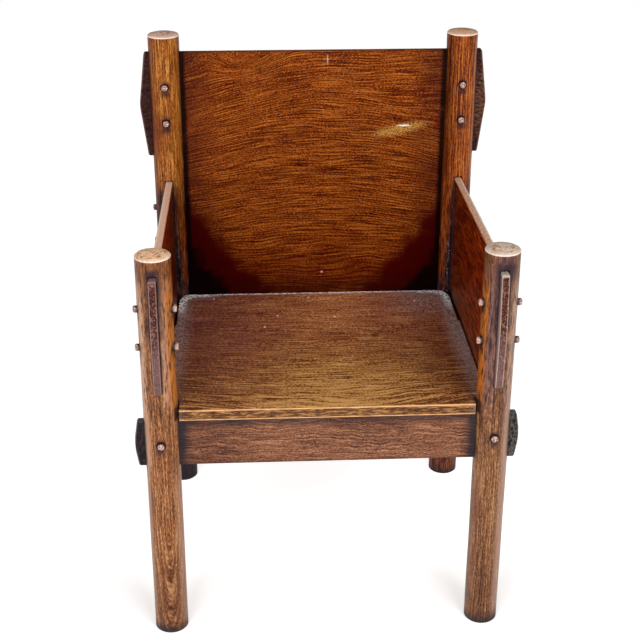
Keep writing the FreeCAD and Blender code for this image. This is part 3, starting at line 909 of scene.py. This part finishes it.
# %% Stain a post, and paint light and shade on it
def draw_bands_and_painted_light(f, side, end, across, deep, cloud):
    # Pale bands are painted highlights, dark edge bands painted shade, the others streaks of colour.
    for start, stop, low, high, code, strength in POST_BANDS_AND_PAINTED_LIGHT[side, end]:
        band = across.fade(start, stop) * deep.fade(0.010, -0.004)
        band = band * f.z.fade(low, low + BAND_FADE) * f.z.fade(high, high - BAND_FADE)
        f.stain(code, band * (cloud + 0.5).at_most(1) * strength)


def paint_rear_shade_and_dust(f, side, across, deep, cloud):
    """Painted shade on a rear post: a deeper red below the arms, where their shadow falls, and blue black in
    the corner just above the seat, with specks of dust in it.
    """
    left = side == "left"
    # Painted shadow of the arms: a deeper red below them.
    below = f.z.fade(SIDE_TOP + 0.02, SIDE_TOP - 0.06) * f.z.fade(0.02, 0.3)
    f.stain("400702" if left else "6c0e00", below * (0.5 if left else 0.35))
    outer = (across * SIDES[side]).fade(-0.022, -0.012).at_least(f.z.fade(0.45, 0.42) * 0.9)
    # Painted shade in the corner just above the seat, in blue black.
    corner_shade = f.z.fade(0.55, 0.47) * f.z.fade(0.38, 0.40) * deep.fade(0.008, -0.004) * outer
    f.stain("0a0a1c", corner_shade * (cloud * 1.8).at_most(0.95))
    specks = f.spots(380, 380, 260, 2, 0.7).fade(0.62, 0.7)
    f.stain("b0b0c8", corner_shade * specks * 0.7)


def darken_front(f, side, cloud):
    """Brown on a front post between the arm and the crown, where hands rest."""
    rim = RIM["front"]
    smoked = f.z.fade(SIDE_TOP - 0.04, SIDE_TOP + 0.02) * f.z.fade(rim, rim - 0.008)
    f.stain("6e3408" if side == "left" else "4a2210", smoked * (cloud * 1.2).at_most(0.7))


# %% Dirt, wear, painted shade and painted highlights on a post
def add_dirt_and_shade(f, side, end, cloud, bark):
    """Dirt at a post's joints and foot, painted shade on the rear legs under the seat, and black lines of
    painted shade in the joints. Gives back how much lies where.
    """
    left, rear = side == "left", end == "rear"
    if not left and not rear:
        place = (POST_X + 0.002, -POST_Y - POST_R, SIDE_TOP + 0.002)
        blotch = f.spots(220, 220, 160, 3, 0.75).fade(0.36, 0.6)
        f.stain("30243c", f.near_point(place, 0.05, (0.45, 1, 1)).fade(0.0, 0.6) * blotch * 0.8)
    marks, lines = joint_marks(f, side, end)
    # The feet darken towards the floor. On the rear legs this is painted shade under the seat, blue black low
    # down.
    foot = f.z.fade(0.03, 0.0).at_least(f.z.fade(0.2, 0.02) * (0.2 if left else 0.05))
    if rear:
        foot = foot.at_least(f.z.fade(0.22, 0.04) * (1.3 if left else 0.6))
    dirt_and_shade = (marks * (cloud * 1.6 + bark * 0.6 - 0.3)).at_least(foot * (cloud + 0.4)).at_most(0.93)
    f.stain(f.mix("2a1620", "181c26", foot), dirt_and_shade)
    # Black lines in the joints: painted shade beside the tenons and the seat, and a dark ring round each peg.
    f.stain("0c0608", lines * 0.9)
    return dirt_and_shade


def wear_crown_and_highlight(f, across, deep, cloud, rim, pale, seed):
    """End grain on the crown, rubbed pale, with a painted highlight along the chamfer at its edge."""
    spread = (across * across + deep * deep) ** 0.5
    rings = f.noise(spread * 500, across * 160, deep * 160 + seed, 2)
    worn = f.ramp(rings * 0.8 + cloud * 0.5, [(0.36, "4e3022"), (0.54, "b08460"), (0.72, pale)])
    edge = spread.fade(POST_R - 0.009, POST_R - 0.003)
    worn = f.mix(worn, pale, edge * (cloud * 1.4).at_most(0.9))
    f.stain(worn, f.z.fade(rim - 0.0016, rim - 0.0004))
    # A painted highlight along the chamfer at the crown's edge.
    bright = abs(f.z - rim + CHAMFER).fade(0.0016, 0.0006) * (rings + cloud).at_most(1)
    f.stain("fce4d4", bright * 0.9)


# %% Finish for a post
def post_finish(side, end, seed):
    f = Finish(f"oak_{end}_post_{side}")
    rear = end == "rear"
    across, deep = f.x - SIDES[side] * POST_X, f.y - ENDS[end] * POST_Y
    figure = across
    if (side, end) == ("left", "front"):
        arch, folded = (f.z - ARCH_TOP).at_most(0) * ARCH_SHARE, across - ARCH_X
        figure = (folded * folded + arch * arch) ** 0.5
    grain = Grain(f, f.z, figure, deep, seed, heart=-0.4, depth=0.08, wave=0.006, fine=600, fleck=0.006)
    shares = {"streak_share": 2.0 if rear else 1.3, "fleck_share": 1.4, "ring_share": 0.08}
    f.colour = oak(grain, POST_COLOURS[side, end], **shares)
    cloud = f.spots(60, 60, 30, 3, seed=seed)
    draw_bands_and_painted_light(f, side, end, across, deep, cloud)
    if rear:
        paint_rear_shade_and_dust(f, side, across, deep, cloud)
        weather = f.z.fade(SIDE_TOP + 0.02, SIDE_TOP - 0.06).at_least(0.3)
    else:
        darken_front(f, side, cloud)
        weather = f.z.fade(0.36, 0.46)
    bark = f.noise(f.z * 45, across * 300, deep * 300 + seed, 2, 0.7)
    f.mottle(bark, weather * 4.5 + 0.8, weather * (0.9 if rear else 0.6) + 0.1)
    dirt_and_shade = add_dirt_and_shade(f, side, end, cloud, bark)
    wear_crown_and_highlight(f, across, deep, cloud, RIM[end], CROWN_COLOURS[side, end], seed)
    return f.give(0.46 - grain.fibres * 0.1 + dirt_and_shade * 0.2, grain.height(), shine=0.1 if rear else 0.2)


for number, ((side, end), post) in enumerate(posts.items()):
    put_in(post, f"{end}_post_{side}", post_finish(side, end, 3.7 + 11.3 * number))

# %% [markdown]
# ## The finish of the boards
# The boards took the stain more deeply and are red brown. The seat is paler in its middle towards the
# front edge, and dust has gathered in its rear corners. The back board is darker low down, partly
# stain and partly painted shade, and painted shadows of the side boards with painted shade beside the
# posts turn its lower corners almost black. Its grain swings round a knot at the upper left, so the
# value that the grain follows across the board is bent there first.

# %% Grain of the back board
BACK_FACE = POST_Y - BACK_THICK / 2
BACK_COLOURS = ("280400", "561804", "82350b", "b46824")


def back_grain(f, x, z):
    right = x.at_least(0)
    swell = x * x * (z.fade(-0.25, -0.10) * 0.4 + 0.1) - right * right * z.fade(0.0, 0.12) * 0.5
    knot = f.near_point((-0.125, BACK_FACE, 0.874), 0.085, (1.1, 1, 0.8))
    bay = f.near_point((-0.185, BACK_FACE, 0.868), 0.05, (0.9, 1, 1))
    ripple = f.noise(x * 45, f.y * 45, z * 45, 1) - 0.5
    fan = x.at_most(0) * z.fade(-0.12, 0.12) * 0.12
    swell = swell + knot * (ripple * 0.05 + 0.045) - bay * 0.022 - fan
    return Grain(f, x, z + swell, f.y - POST_Y, 61, heart=-0.5, depth=0.3, wave=0.018, fine=680, fleck=0.0032)


# %% Marks on the back board
BACK_MARKS = [
    ((-0.093, 0.832), 0.020, (1.2, 1, 0.7), 0.6),
    ((-0.066, 0.837), 0.018, (1.3, 1, 0.6), 0.6),
    ((0.054, 0.857), 0.020, (0.8, 1, 1), 0.6),
    ((0.058, 0.828), 0.016, (1, 1, 0.8), 0.55),
    ((-0.222, 0.855), 0.028, (1, 1, 1), 0.7),
    ((0.215, 0.835), 0.05, (0.7, 1, 1), 0.6),
]
RUBBED = (0.156, 0.7215)
RUBBED_SLOPE = 0.2


def mark_back(f, flecks, face):
    """Dark spots, a rubbed patch with a bare streak in it, and two nicks, all on the front face."""
    for place, reach, stretch, strength in BACK_MARKS:
        mark = f.near_point((place[0], BACK_FACE, place[1]), reach, stretch) * flecks.fade(0.75, 0.35)
        f.stain("2a0c0a", mark * face * strength)
    away = f.x - RUBBED[0]
    tall = (f.z - RUBBED[1] - away * RUBBED_SLOPE) / 0.22
    rubbed = ((away * away + tall * tall) ** 0.5).fade(0.066, 0.02) * flecks.fade(0.36, 0.56)
    f.stain("d09c4e", rubbed * face * 0.7)
    bare = f.near_point((0.163, BACK_FACE, 0.7285), 0.018, (1, 1, 0.15)) * flecks.fade(0.3, 0.45)
    f.stain("fff4e0", bare)
    nick = f.near_point((0.0245, BACK_FACE, 0.851), 0.014, (0.16, 1, 1)) * 0.6
    f.stain("e8b8a0", nick.at_least(f.near_point((0.0148, BACK_FACE, 0.443), 0.0032)))


def age_back_tips(f):
    """The tenons' ends are rough and nearly black, and a little paler on the right."""
    reach, off = abs(f.x), abs(f.z - sum(BACK_TENON) / 2)
    out = reach.fade(SHOULDER_X + 0.01, POST_X + 0.015)
    pale = f.mix("3a2422", "6c4838", f.x.fade(0.28, 0.30) * off.fade(0.08, 0.03))
    rough = f.spots(120, 260, 260, 3, 0.7)
    f.stain(f.mix("120b0c", pale, rough.fade(0.35, 0.65)), out * 0.92)
    rim = (reach + off * 0.128).fade(BACK_RIDGE_X - 0.003, BACK_RIDGE_X - 0.001)
    f.stain("7c6058", rim * out * rough)


# %% Finish for the back board
SHADE_CENTRE = 0.005
SHADE_HALF = 0.086
SHADE_RISE = 1.25


def back_finish():
    f = Finish("oak_back_board")
    x, z = f.x, f.z - 0.70
    grain = back_grain(f, x, z)
    cloud = f.noise(x * 30, f.y * 30, z * 30, 3)
    f.colour = oak(grain, BACK_COLOURS, streak_share=2.3, fleck_share=2.4, ring_share=0.25, level=0.485)
    f.stain("7e4206", (cloud - 0.35) * 0.7)
    # Darker towards the bottom: partly stain, partly painted shade under the arms and the seat.
    f.stain("4a0200", f.z.fade(0.56, SEAT_LINE) * 0.55)
    # Darker towards both sides: partly stain, partly painted shade beside the posts.
    f.stain("3c0c0c", abs(x).fade(0.15, 0.232) * (cloud + 0.2) * 0.8)
    # Painted shadows of the side boards, reaching down diagonally to the lower corners of the front face.
    ragged = (cloud - 0.5) * 0.09 + (grain.streaks - 0.5) * 0.03
    under = (abs(x - SHADE_CENTRE) - SHADE_HALF) * SHADE_RISE - (f.z - SEAT_LINE) + ragged
    face = f.y.fade(POST_Y + 0.002, POST_Y - 0.004)
    f.stain("3e0000", under.fade(-0.02, 0.035) * face * 0.98)
    # Painted shade just above the seat.
    f.stain("2c0400", f.z.fade(0.45, 0.408) * face * (cloud + 0.2) * 0.9)
    # Black painted shade beside the posts and deep inside the painted shadows.
    edge = abs(x).fade(0.224, 0.233) * abs(x).fade(SHOULDER_X + 0.003, SHOULDER_X)
    black = under.fade(0.075, 0.125).at_least(edge * (cloud + 0.5)) * face
    f.stain("0a0102", black.at_most(0.95))
    mark_back(f, grain.flecks, face)
    age_back_tips(f)
    return f.give(0.48 - grain.fibres * 0.1, grain.height(), shine=0.03)


put_in(back, "back_board", back_finish())


# %% Marks on the seat
SEAT_MARKS = [
    ((0.0985, 0.022), 0.013, (0.8, 1.4, 2), 0.8),
    ((-0.0984, -0.0983), 0.010, (1, 1.5, 2), 0.7),
    ((-0.10, 0.128), 0.020, (1, 0.6, 2), 0.4),
    ((0.17, -0.12), 0.035, (1, 0.6, 2), 0.4),
]
SEAT_SPECKS = [
    (0.186, 0.1755), (-0.072, 0.116), (0.032, 0.107),
    (-0.096, 0.066), (-0.012, 0.2), (-0.19, 0.20),
]
SEAT_MIDDLE_Z = SEAT_HIGH - 0.008


def mark_seat(f):
    for place, reach, stretch, strength in SEAT_MARKS:
        f.stain("2c1210", f.near_point((*place, SEAT_MIDDLE_Z), reach, stretch) * strength)
    for place in SEAT_SPECKS:
        f.stain("fff0e0", f.near_point((*place, SEAT_MIDDLE_Z), 0.0032, (1, 1.5, 6)))


def nose_grain_and_highlights(f, cloud):
    """The seat's front edge: rough end of the grain, with two painted highlight lines, on the rounded top
    edge and the lower edge, and a dark line.
    """
    x, y = f.x, f.y
    dashes = f.spots(70, 420, 460, 3, 0.75)
    nose = f.ramp(dashes, [(0.37, "241007"), (0.49, "5c3417"), (0.62, "a87846")])
    f.stain(nose, y.fade(-0.2455, -0.2475) * 0.95)
    # Painted highlights along the rounded top edge and along the lower edge of the nose.
    bend = f.z - SEAT_HIGH + y - SEAT_FRONT
    lower = f.z.fade(0.4008, 0.3992) * y.fade(-0.240, -0.247)
    lines = abs(bend + 0.001).fade(0.0021, 0.001).at_least(lower)
    f.stain("f0b47c", lines * (cloud * 1.6).at_most(0.9))
    f.stain("4a240e", abs(bend - 0.0045).fade(0.0022, 0.001) * x.fade(0.04, 0.12) * 0.7)


def dust_seat(f, purple):
    """Grey dust along the sides and rear corners, with a little white fluff. Gives back the dust."""
    x, y = f.x, f.y
    side_edge, rear_edge = (abs(x) - 0.214).at_least(0), (y - 0.1845).at_least(0)
    edge = (side_edge * side_edge + rear_edge * rear_edge) ** 0.5
    beside = abs(x).fade(0.17, 0.215)
    share = (y.fade(-0.22, 0.02) * 0.7 + 0.3) * (x.fade(-0.1, 0.1) * 0.4 + 0.8)
    dust = (edge.fade(0.004, 0.036) * beside * share).at_least(edge.fade(0.030, 0.0405) * 0.8)
    blotch = f.spots(230, 180, 180, 3, 0.8)
    corner = y.fade(0.06, 0.19) * x.fade(0.11, 0.2)
    dust = (dust * blotch.fade(0.25, 0.55)).at_least(corner * blotch.fade(0.4, 0.65)).at_most(0.9)
    f.stain("a8908e", dust)
    f.mottle(blotch, dust * 6 + purple * 3, dust * 1.4 + purple * 0.7)
    grit = f.spots(210, 150, 150, 2, 0.8).fade(0.45, 0.50)
    fluff = (edge.fade(0.022, 0.034) * beside).at_least(edge.fade(0.031, 0.037) * 0.8)
    f.stain("ffffff", fluff * y.fade(0.12, 0.17) * grit)
    return dust


# %% Finish for the seat
SEAT_RED = ("380f08", "6c3019", "a45c37", "dca26a")
SEAT_GOLDEN = ("36160a", "663416", "9c6232", "d8a460")


def seat_finish():
    f = Finish("oak_seat_board")
    x, y = f.x, f.y
    front = y.fade(0.0, -0.22)
    middle = abs(x - y.fade(0.16, 0.02) * 0.02).fade(0.22, 0.02)
    bent = y - x * x * front * 0.5
    grain = Grain(f, x, bent, f.z - SEAT_HIGH, 87, heart=-0.4, depth=0.25, wave=0.018, fine=460, fleck=0.0036)
    level = middle * (0.02 + front * 0.37) + 0.5 - front * 0.07
    level = level + y.fade(-0.19, -0.24) * x.fade(0.1, 0.0) * 0.16
    level = level + y.fade(0.04, 0.16) * (middle * 0.05 + 0.04)
    shares = {"streak_share": front + 1.4, "fleck_share": 2.1, "level": level}
    f.colour = oak(grain, SEAT_RED, **shares)
    f.stain(oak(grain, SEAT_GOLDEN, **shares), y.fade(0.12, -0.14))
    cloud = f.spots(40, 40, 40, 3)
    purple = (1 - middle) * (1 - front * 0.6) * (1 - x.fade(0.02, 0.15) * y.fade(0.14, 0.06) * 0.6)
    f.stain("84464a", purple * cloud * 0.8)
    nose_grain_and_highlights(f, cloud)
    dust = dust_seat(f, purple)
    mark_seat(f)
    return f.give(0.46 - grain.fibres * 0.12 + dust * 0.2, grain.height(), shine=0.15)


put_in(seat, "seat_board", seat_finish())


# %% Finish for a rail
RAIL_COLOURS = ("361a10", "603826", "8a583c", "b48466")
RAIL_MARKS = [
    ((0.118, 0.371), 0.013, 0.85),
    ((0.135, 0.363), 0.008, 0.6),
    ((0.082, 0.344), 0.012, 0.5),
    ((0.060, 0.362), 0.026, 0.35),
    ((-0.041, 0.372), 0.024, 0.3),
    ((-0.076, 0.389), 0.012, 0.6),
    ((-0.211, 0.344), 0.004, 0.9),
    ((-0.202, 0.344), 0.0045, 0.9),
    ((-0.194, 0.343), 0.004, 0.9),
]


def age_rail_tips(f, seed, cloud):
    """The tenons' ends are almost black, with a grey rim that follows their peak."""
    reach = abs(f.x)
    out = reach.fade(SHOULDER_X + 0.01, POST_X + 0.02)
    rough = f.spots(260, 260, 160, 3, 0.7, seed=seed)
    bare = f.mix("2e1c24", "564e48", f.x.fade(-0.1, 0.1))
    f.stain(f.mix(bare, "050405", rough.fade(0.6, 0.4)), out * 0.95)
    half_high = (RAIL_HIGH - RAIL_LOW) / 2
    peak = abs(f.z - RAIL_LOW - half_high) * ((RAIL_RIDGE_X - TIP_X) / half_high)
    rim = (reach + peak).fade(RAIL_RIDGE_X - 0.0026, RAIL_RIDGE_X - 0.0012)
    rim = rim.at_least(f.z.fade(RAIL_HIGH - 0.0015, RAIL_HIGH) * out)
    f.stain("6e6460", rim * (cloud * 1.2).at_most(0.6))


def rail_finish(name, y, seed, warmth):
    f = Finish(name)
    swirl = (f.spots(22, 22, 22, 2, seed=seed) - 0.5) * 0.022
    across = f.z - 0.36 + swirl
    grain = Grain(f, f.x, across, f.y - y, seed, heart=0.4, depth=0.3, wave=0.03, fine=620, fleck=0.003)
    # Darker towards the left end: painted shade.
    level = f.x.fade(-0.06, -0.2) * -0.12 + 0.44
    f.colour = oak(grain, RAIL_COLOURS, streak_share=1.2, fleck_share=1.3, level=level)
    f.stain("74340c", warmth)
    cloud = f.spots(30, 30, 30, 3, seed=seed)
    for (px, pz), reach, strength in RAIL_MARKS:
        spot = f.near_point((px, y - BACK_THICK / 2, pz), reach) * grain.flecks.fade(0.75, 0.4)
        f.stain("24120f", spot * strength)
    soft = cloud * 0.8 + grain.flecks * 0.5 - 0.1
    shade = f.z.fade(RAIL_HIGH - 0.018, RAIL_HIGH - 0.003) * 0.7
    shade = shade.at_least(abs(f.x).fade(0.210, SHOULDER_X + 0.002) * 1.3)
    shade = shade.at_least(f.z.fade(RAIL_LOW + 0.006, RAIL_LOW) * 0.5)
    f.stain("14141e", (shade * soft * 1.6).at_most(0.9))
    age_rail_tips(f, seed, cloud)
    return f.give(0.46 - grain.fibres * 0.1, grain.height(), shine=0.15)


put_in(apron, "front_apron", rail_finish("oak_front_apron", -POST_Y, 23, 0.0))
put_in(rear_rail, "rear_rail", rail_finish("oak_rear_rail", POST_Y, 31, 0.55))


# %% Tenons and arms of a side board
HALF_SIDE = SIDE_THICK / 2


def age_and_light_side_tips(f, side, off, drop, out, cloud, speck):
    """The tenons' ends: rough and speckled, greyer low down, with paler tops, painted highlights along the
    rims, and on the inner flank painted shade on the left board and painted light on the right.
    """
    left = side == "left"
    tip = f.ramp(speck, [(0.34, "1c0a08"), (0.5, "42201a"), (0.62, "785044"), (0.76, "b0948a")])
    tip = f.mix(tip, "765c5a", drop.fade(-0.07, -0.15) * (cloud * 0.8 + 0.2).at_most(0.7))
    # The inner flank: painted shade on the left board, painted light on the right.
    flank = off.fade(0.0012 - HALF_SIDE, 0.0004 - HALF_SIDE)
    tip = f.mix(tip, "1a100e" if left else "94787a", flank * (speck + 0.3).at_most(0.85))
    # Painted highlights along the rims of the tip.
    rim = off.fade(HALF_SIDE - 0.0018, HALF_SIDE - 0.0006).at_least(off.fade(-0.0042, -0.0052) * 0.8)
    rim = rim * abs(f.y).fade(TIP_Y - 0.003, TIP_Y)
    tip = f.mix(tip, "a08484" if left else "c8b4a4", rim * (speck * 1.5).at_most(0.8))
    cap = drop.fade(-0.0055, -0.002) * (speck + 0.3).at_most(0.9)
    f.stain(f.mix(tip, "84686a" if left else "c0b4a4", cap), out * 0.95)


def arm_top_and_highlight(f, side, off, drop, out, speck):
    """The arm's top is paler, and a painted highlight runs along its outer edge."""
    worn = drop.fade(-0.005, -0.001) * (1 - out)
    pale = f.mix("e8ac90" if side == "left" else "b47854", "f8ceb0", speck.fade(0.3, 0.7))
    f.stain(pale, worn * 0.95)
    # A painted highlight along the outer edge of the arm's top.
    ridge = worn * off.fade(HALF_SIDE - 0.0042, HALF_SIDE - 0.0024)
    f.stain("f4e4d8", ridge * (speck * 1.4 - 0.1).at_most(0.85))


# %% Finish for a side board
SIDE_OUTER = ("360a04", "5e2408", "8a4418", "b4703a")
SIDE_INNER = ("3e0800", "681600", "9c2a02", "c45c1c")


def side_finish(side, seed):
    f = Finish(f"oak_side_board_{side}")
    left = side == "left"
    x = SIDES[side] * POST_X
    off = (f.x - x) * SIDES[side]
    inner = off.fade(0.002, -0.004)
    grain = Grain(f, f.y, f.z - 0.5, f.x - x, seed, heart=-0.4, depth=0.3, wave=0.03, fine=480, fleck=0.005)
    shares = {"streak_share": 1.5, "fleck_share": 1.4}
    f.colour = oak(grain, SIDE_OUTER, **shares)
    f.stain(oak(grain, SIDE_INNER, **shares), inner)
    cloud = f.spots(40, 40, 40, 3, seed=seed)
    f.stain("a85014", f.z.fade(0.54, 0.44) * inner * cloud * (0.2 if left else 0.9))
    f.stain("320402", f.y.fade(-0.08, 0.18) * inner * (0.65 if left else 0.4))
    bark = f.noise(f.x * 200, f.y * 26, (f.z + f.y * f.y * 0.4) * 280 + seed, 2, 0.7)
    deep, bright = (4, 0.4) if left else (6, 1.0)
    f.mottle(bark, inner * deep + 1, inner * bright + 0.1, "c87830")
    # Painted shade in the crease where the seat meets the inner face.
    above = f.z - SEAT_HIGH + (f.y - SEAT_FRONT) * SEAT_SLOPE
    f.stain("0a0508", abs(above).fade(0.010, 0.002) * inner * 0.9)
    # Painted shade on the inner face in the corner by the rear post.
    f.stain("120610", f.y.fade(POST_Y - 0.055, POST_Y - 0.032) * inner * 0.85)
    drop = f.z + (f.y + POST_Y) * SIDE_SLOPE - SIDE_TOP
    out = abs(f.y).fade(SHOULDER_Y + 0.03, POST_Y + 0.02)
    speck = f.spots(420, 420, 260, 2, 0.7, seed=seed)
    age_and_light_side_tips(f, side, off, drop, out, cloud, speck)
    arm_top_and_highlight(f, side, off, drop, out, speck)
    seam = abs(f.y - POST_Y + POST_R + 0.004).fade(0.004, 0.0008)
    dusty = seam * (f.noise(0, f.y * 100, f.z * 90 + seed, 3) - 0.25)
    f.stain("b8a8a4", (dusty * f.z.fade(0.40, 0.42) * inner * 1.2).at_most(0.7))
    return f.give(0.46 - grain.fibres * 0.1, grain.height(), shine=0.08)


for side, board in side_boards.items():
    put_in(board, f"side_board_{side}", side_finish(side, 41 + 9 * SIDES[side]))


# %% Finish for the pegs
def peg_finish():
    f = Finish("oak_pegs")
    across, deep = abs(f.x) - POST_X, abs(f.y) - POST_Y
    out = ((across * across + deep * deep) ** 0.5).fade(POST_R + 0.001, POST_R + PEG_PROUD - 0.0005)
    cloud = f.spots(500, 500, 500, 3, 0.6)
    # The peg ends' palest spots are painted highlights.
    end_grain_and_glints = f.ramp(cloud, [(0.34, "4e2e24"), (0.52, "9a6c58"), (0.66, "fce0d4")])
    f.colour = f.mix("24120e", end_grain_and_glints, out)
    # Painted light on the inner ends of the pegs that go through.
    inner = abs(f.x).fade(POST_X - POST_R, POST_X - POST_R - 0.002) * abs(f.x).fade(0.228, 0.230)
    f.stain("f4c8b0", inner * 0.25)
    # Painted shade on the cleats' pegs under the seat.
    f.stain("3a2416", deep.fade(-0.06, -0.07) * 0.8)
    return f.give(0.45 - cloud * 0.1, cloud, 0.3)


peg_material = peg_finish()
for name, peg in pegs.items():
    put_in(peg, name, peg_material)
for peg in cleat_pegs:
    dress(peg, peg_material)


# %% Finish for the cleats, which keep their nodes
def cleat_finish():
    f = Finish("oak_cleats")
    grain = Grain(f, f.y, f.z, f.x, 12, heart=0.04, depth=0.36)
    f.colour = oak(grain, ("3d2414", "5c3a20", "7c5434", "9f7a54"))
    return f.give(0.6 - grain.fibres * 0.1, grain.height(), 0.3)


cleat_material = cleat_finish()
for side in SIDES:
    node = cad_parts[f"seat_cleat_{side}"]
    node.data.materials.clear()
    node.data.materials.append(cleat_material)
print("finishes:", len(bpy.data.materials))

# %% [markdown]
# ## Floor and light
# The photograph was taken on white paper under wide soft lamps, and the paper is overexposed. A very
# large pale floor that also glows does the same. It glows a little less round the front feet, so that
# their soft shadows show. Two broad lamps stand in front, one to each side. The sky is white to the
# camera but sends out little light, since a bright one would wash out the chair's shadows.

# %% Lay the floor
FLOOR_SIZE = 120
PAPER_GLOW = 0.79
GLOW_LOST = 0.29

clear_selection()
bpy.ops.mesh.primitive_plane_add(size=FLOOR_SIZE, location=(0, 0, 0))
floor = bpy.context.object
floor.name = "floor"
paper = Finish("white_paper")
speck = paper.noise(paper.x * 40, paper.y * 40, paper.z, 2)
paper.colour = paper.mix("e4e4e4", "e8e8e8", speck)
paper.give(0.8, speck, 0.02, 0.1)
paper.shader.inputs["Emission Color"].default_value = (1, 1, 1, 1)
before = paper.near_point((0, -0.25, 0), 0.95).fade(0, 0.5) * paper.y.fade(0.06, -0.22)
paper.fill(paper.shader.inputs["Emission Strength"], PAPER_GLOW - before * GLOW_LOST)
floor.data.materials.append(paper.material)
print("floor:", FLOOR_SIZE, "m")

# %% Hang the lamps and the sky
LAMP_TARGET = Vector((0, 0.1, 0.5))
LAMP_DISTANCE = 4
LAMP_SIZE = 1.6
LAMP_POWER = 72
SKY_LIGHT = 0.2
SKY_SEEN = 0.95


def lamp(name, way):
    """A soft lamp that shines on the chair from the direction given."""
    data = bpy.data.lights.new(name, "AREA")
    data.shape = "SQUARE"
    data.size = LAMP_SIZE
    data.energy = LAMP_POWER
    lamp_object = bpy.data.objects.new(name, data)
    lamp_object.location = LAMP_TARGET + Vector(way).normalized() * LAMP_DISTANCE
    lamp_object.rotation_euler = Vector(way).to_track_quat("Z", "Y").to_euler()
    bpy.context.scene.collection.objects.link(lamp_object)


lamp("left_lamp", (-0.4, -1, 0.55))
lamp("right_lamp", (0.45, -1, 0.93))

world = bpy.data.worlds.new("white_room")
world.use_nodes = True
sky = world.node_tree.nodes["Background"]
sky.inputs["Color"].default_value = (1, 1, 1, 1)
seen = world.node_tree.nodes.new("ShaderNodeLightPath").outputs["Is Camera Ray"]
brightness = world.node_tree.nodes.new("ShaderNodeMapRange")
brightness.inputs["To Min"].default_value = SKY_LIGHT
brightness.inputs["To Max"].default_value = SKY_SEEN
world.node_tree.links.new(seen, brightness.inputs["Value"])
world.node_tree.links.new(brightness.outputs["Result"], sky.inputs["Strength"])
bpy.context.scene.world = world
bpy.context.scene.view_settings.view_transform = "Standard"
print("lamps:", LAMP_POWER, "W each")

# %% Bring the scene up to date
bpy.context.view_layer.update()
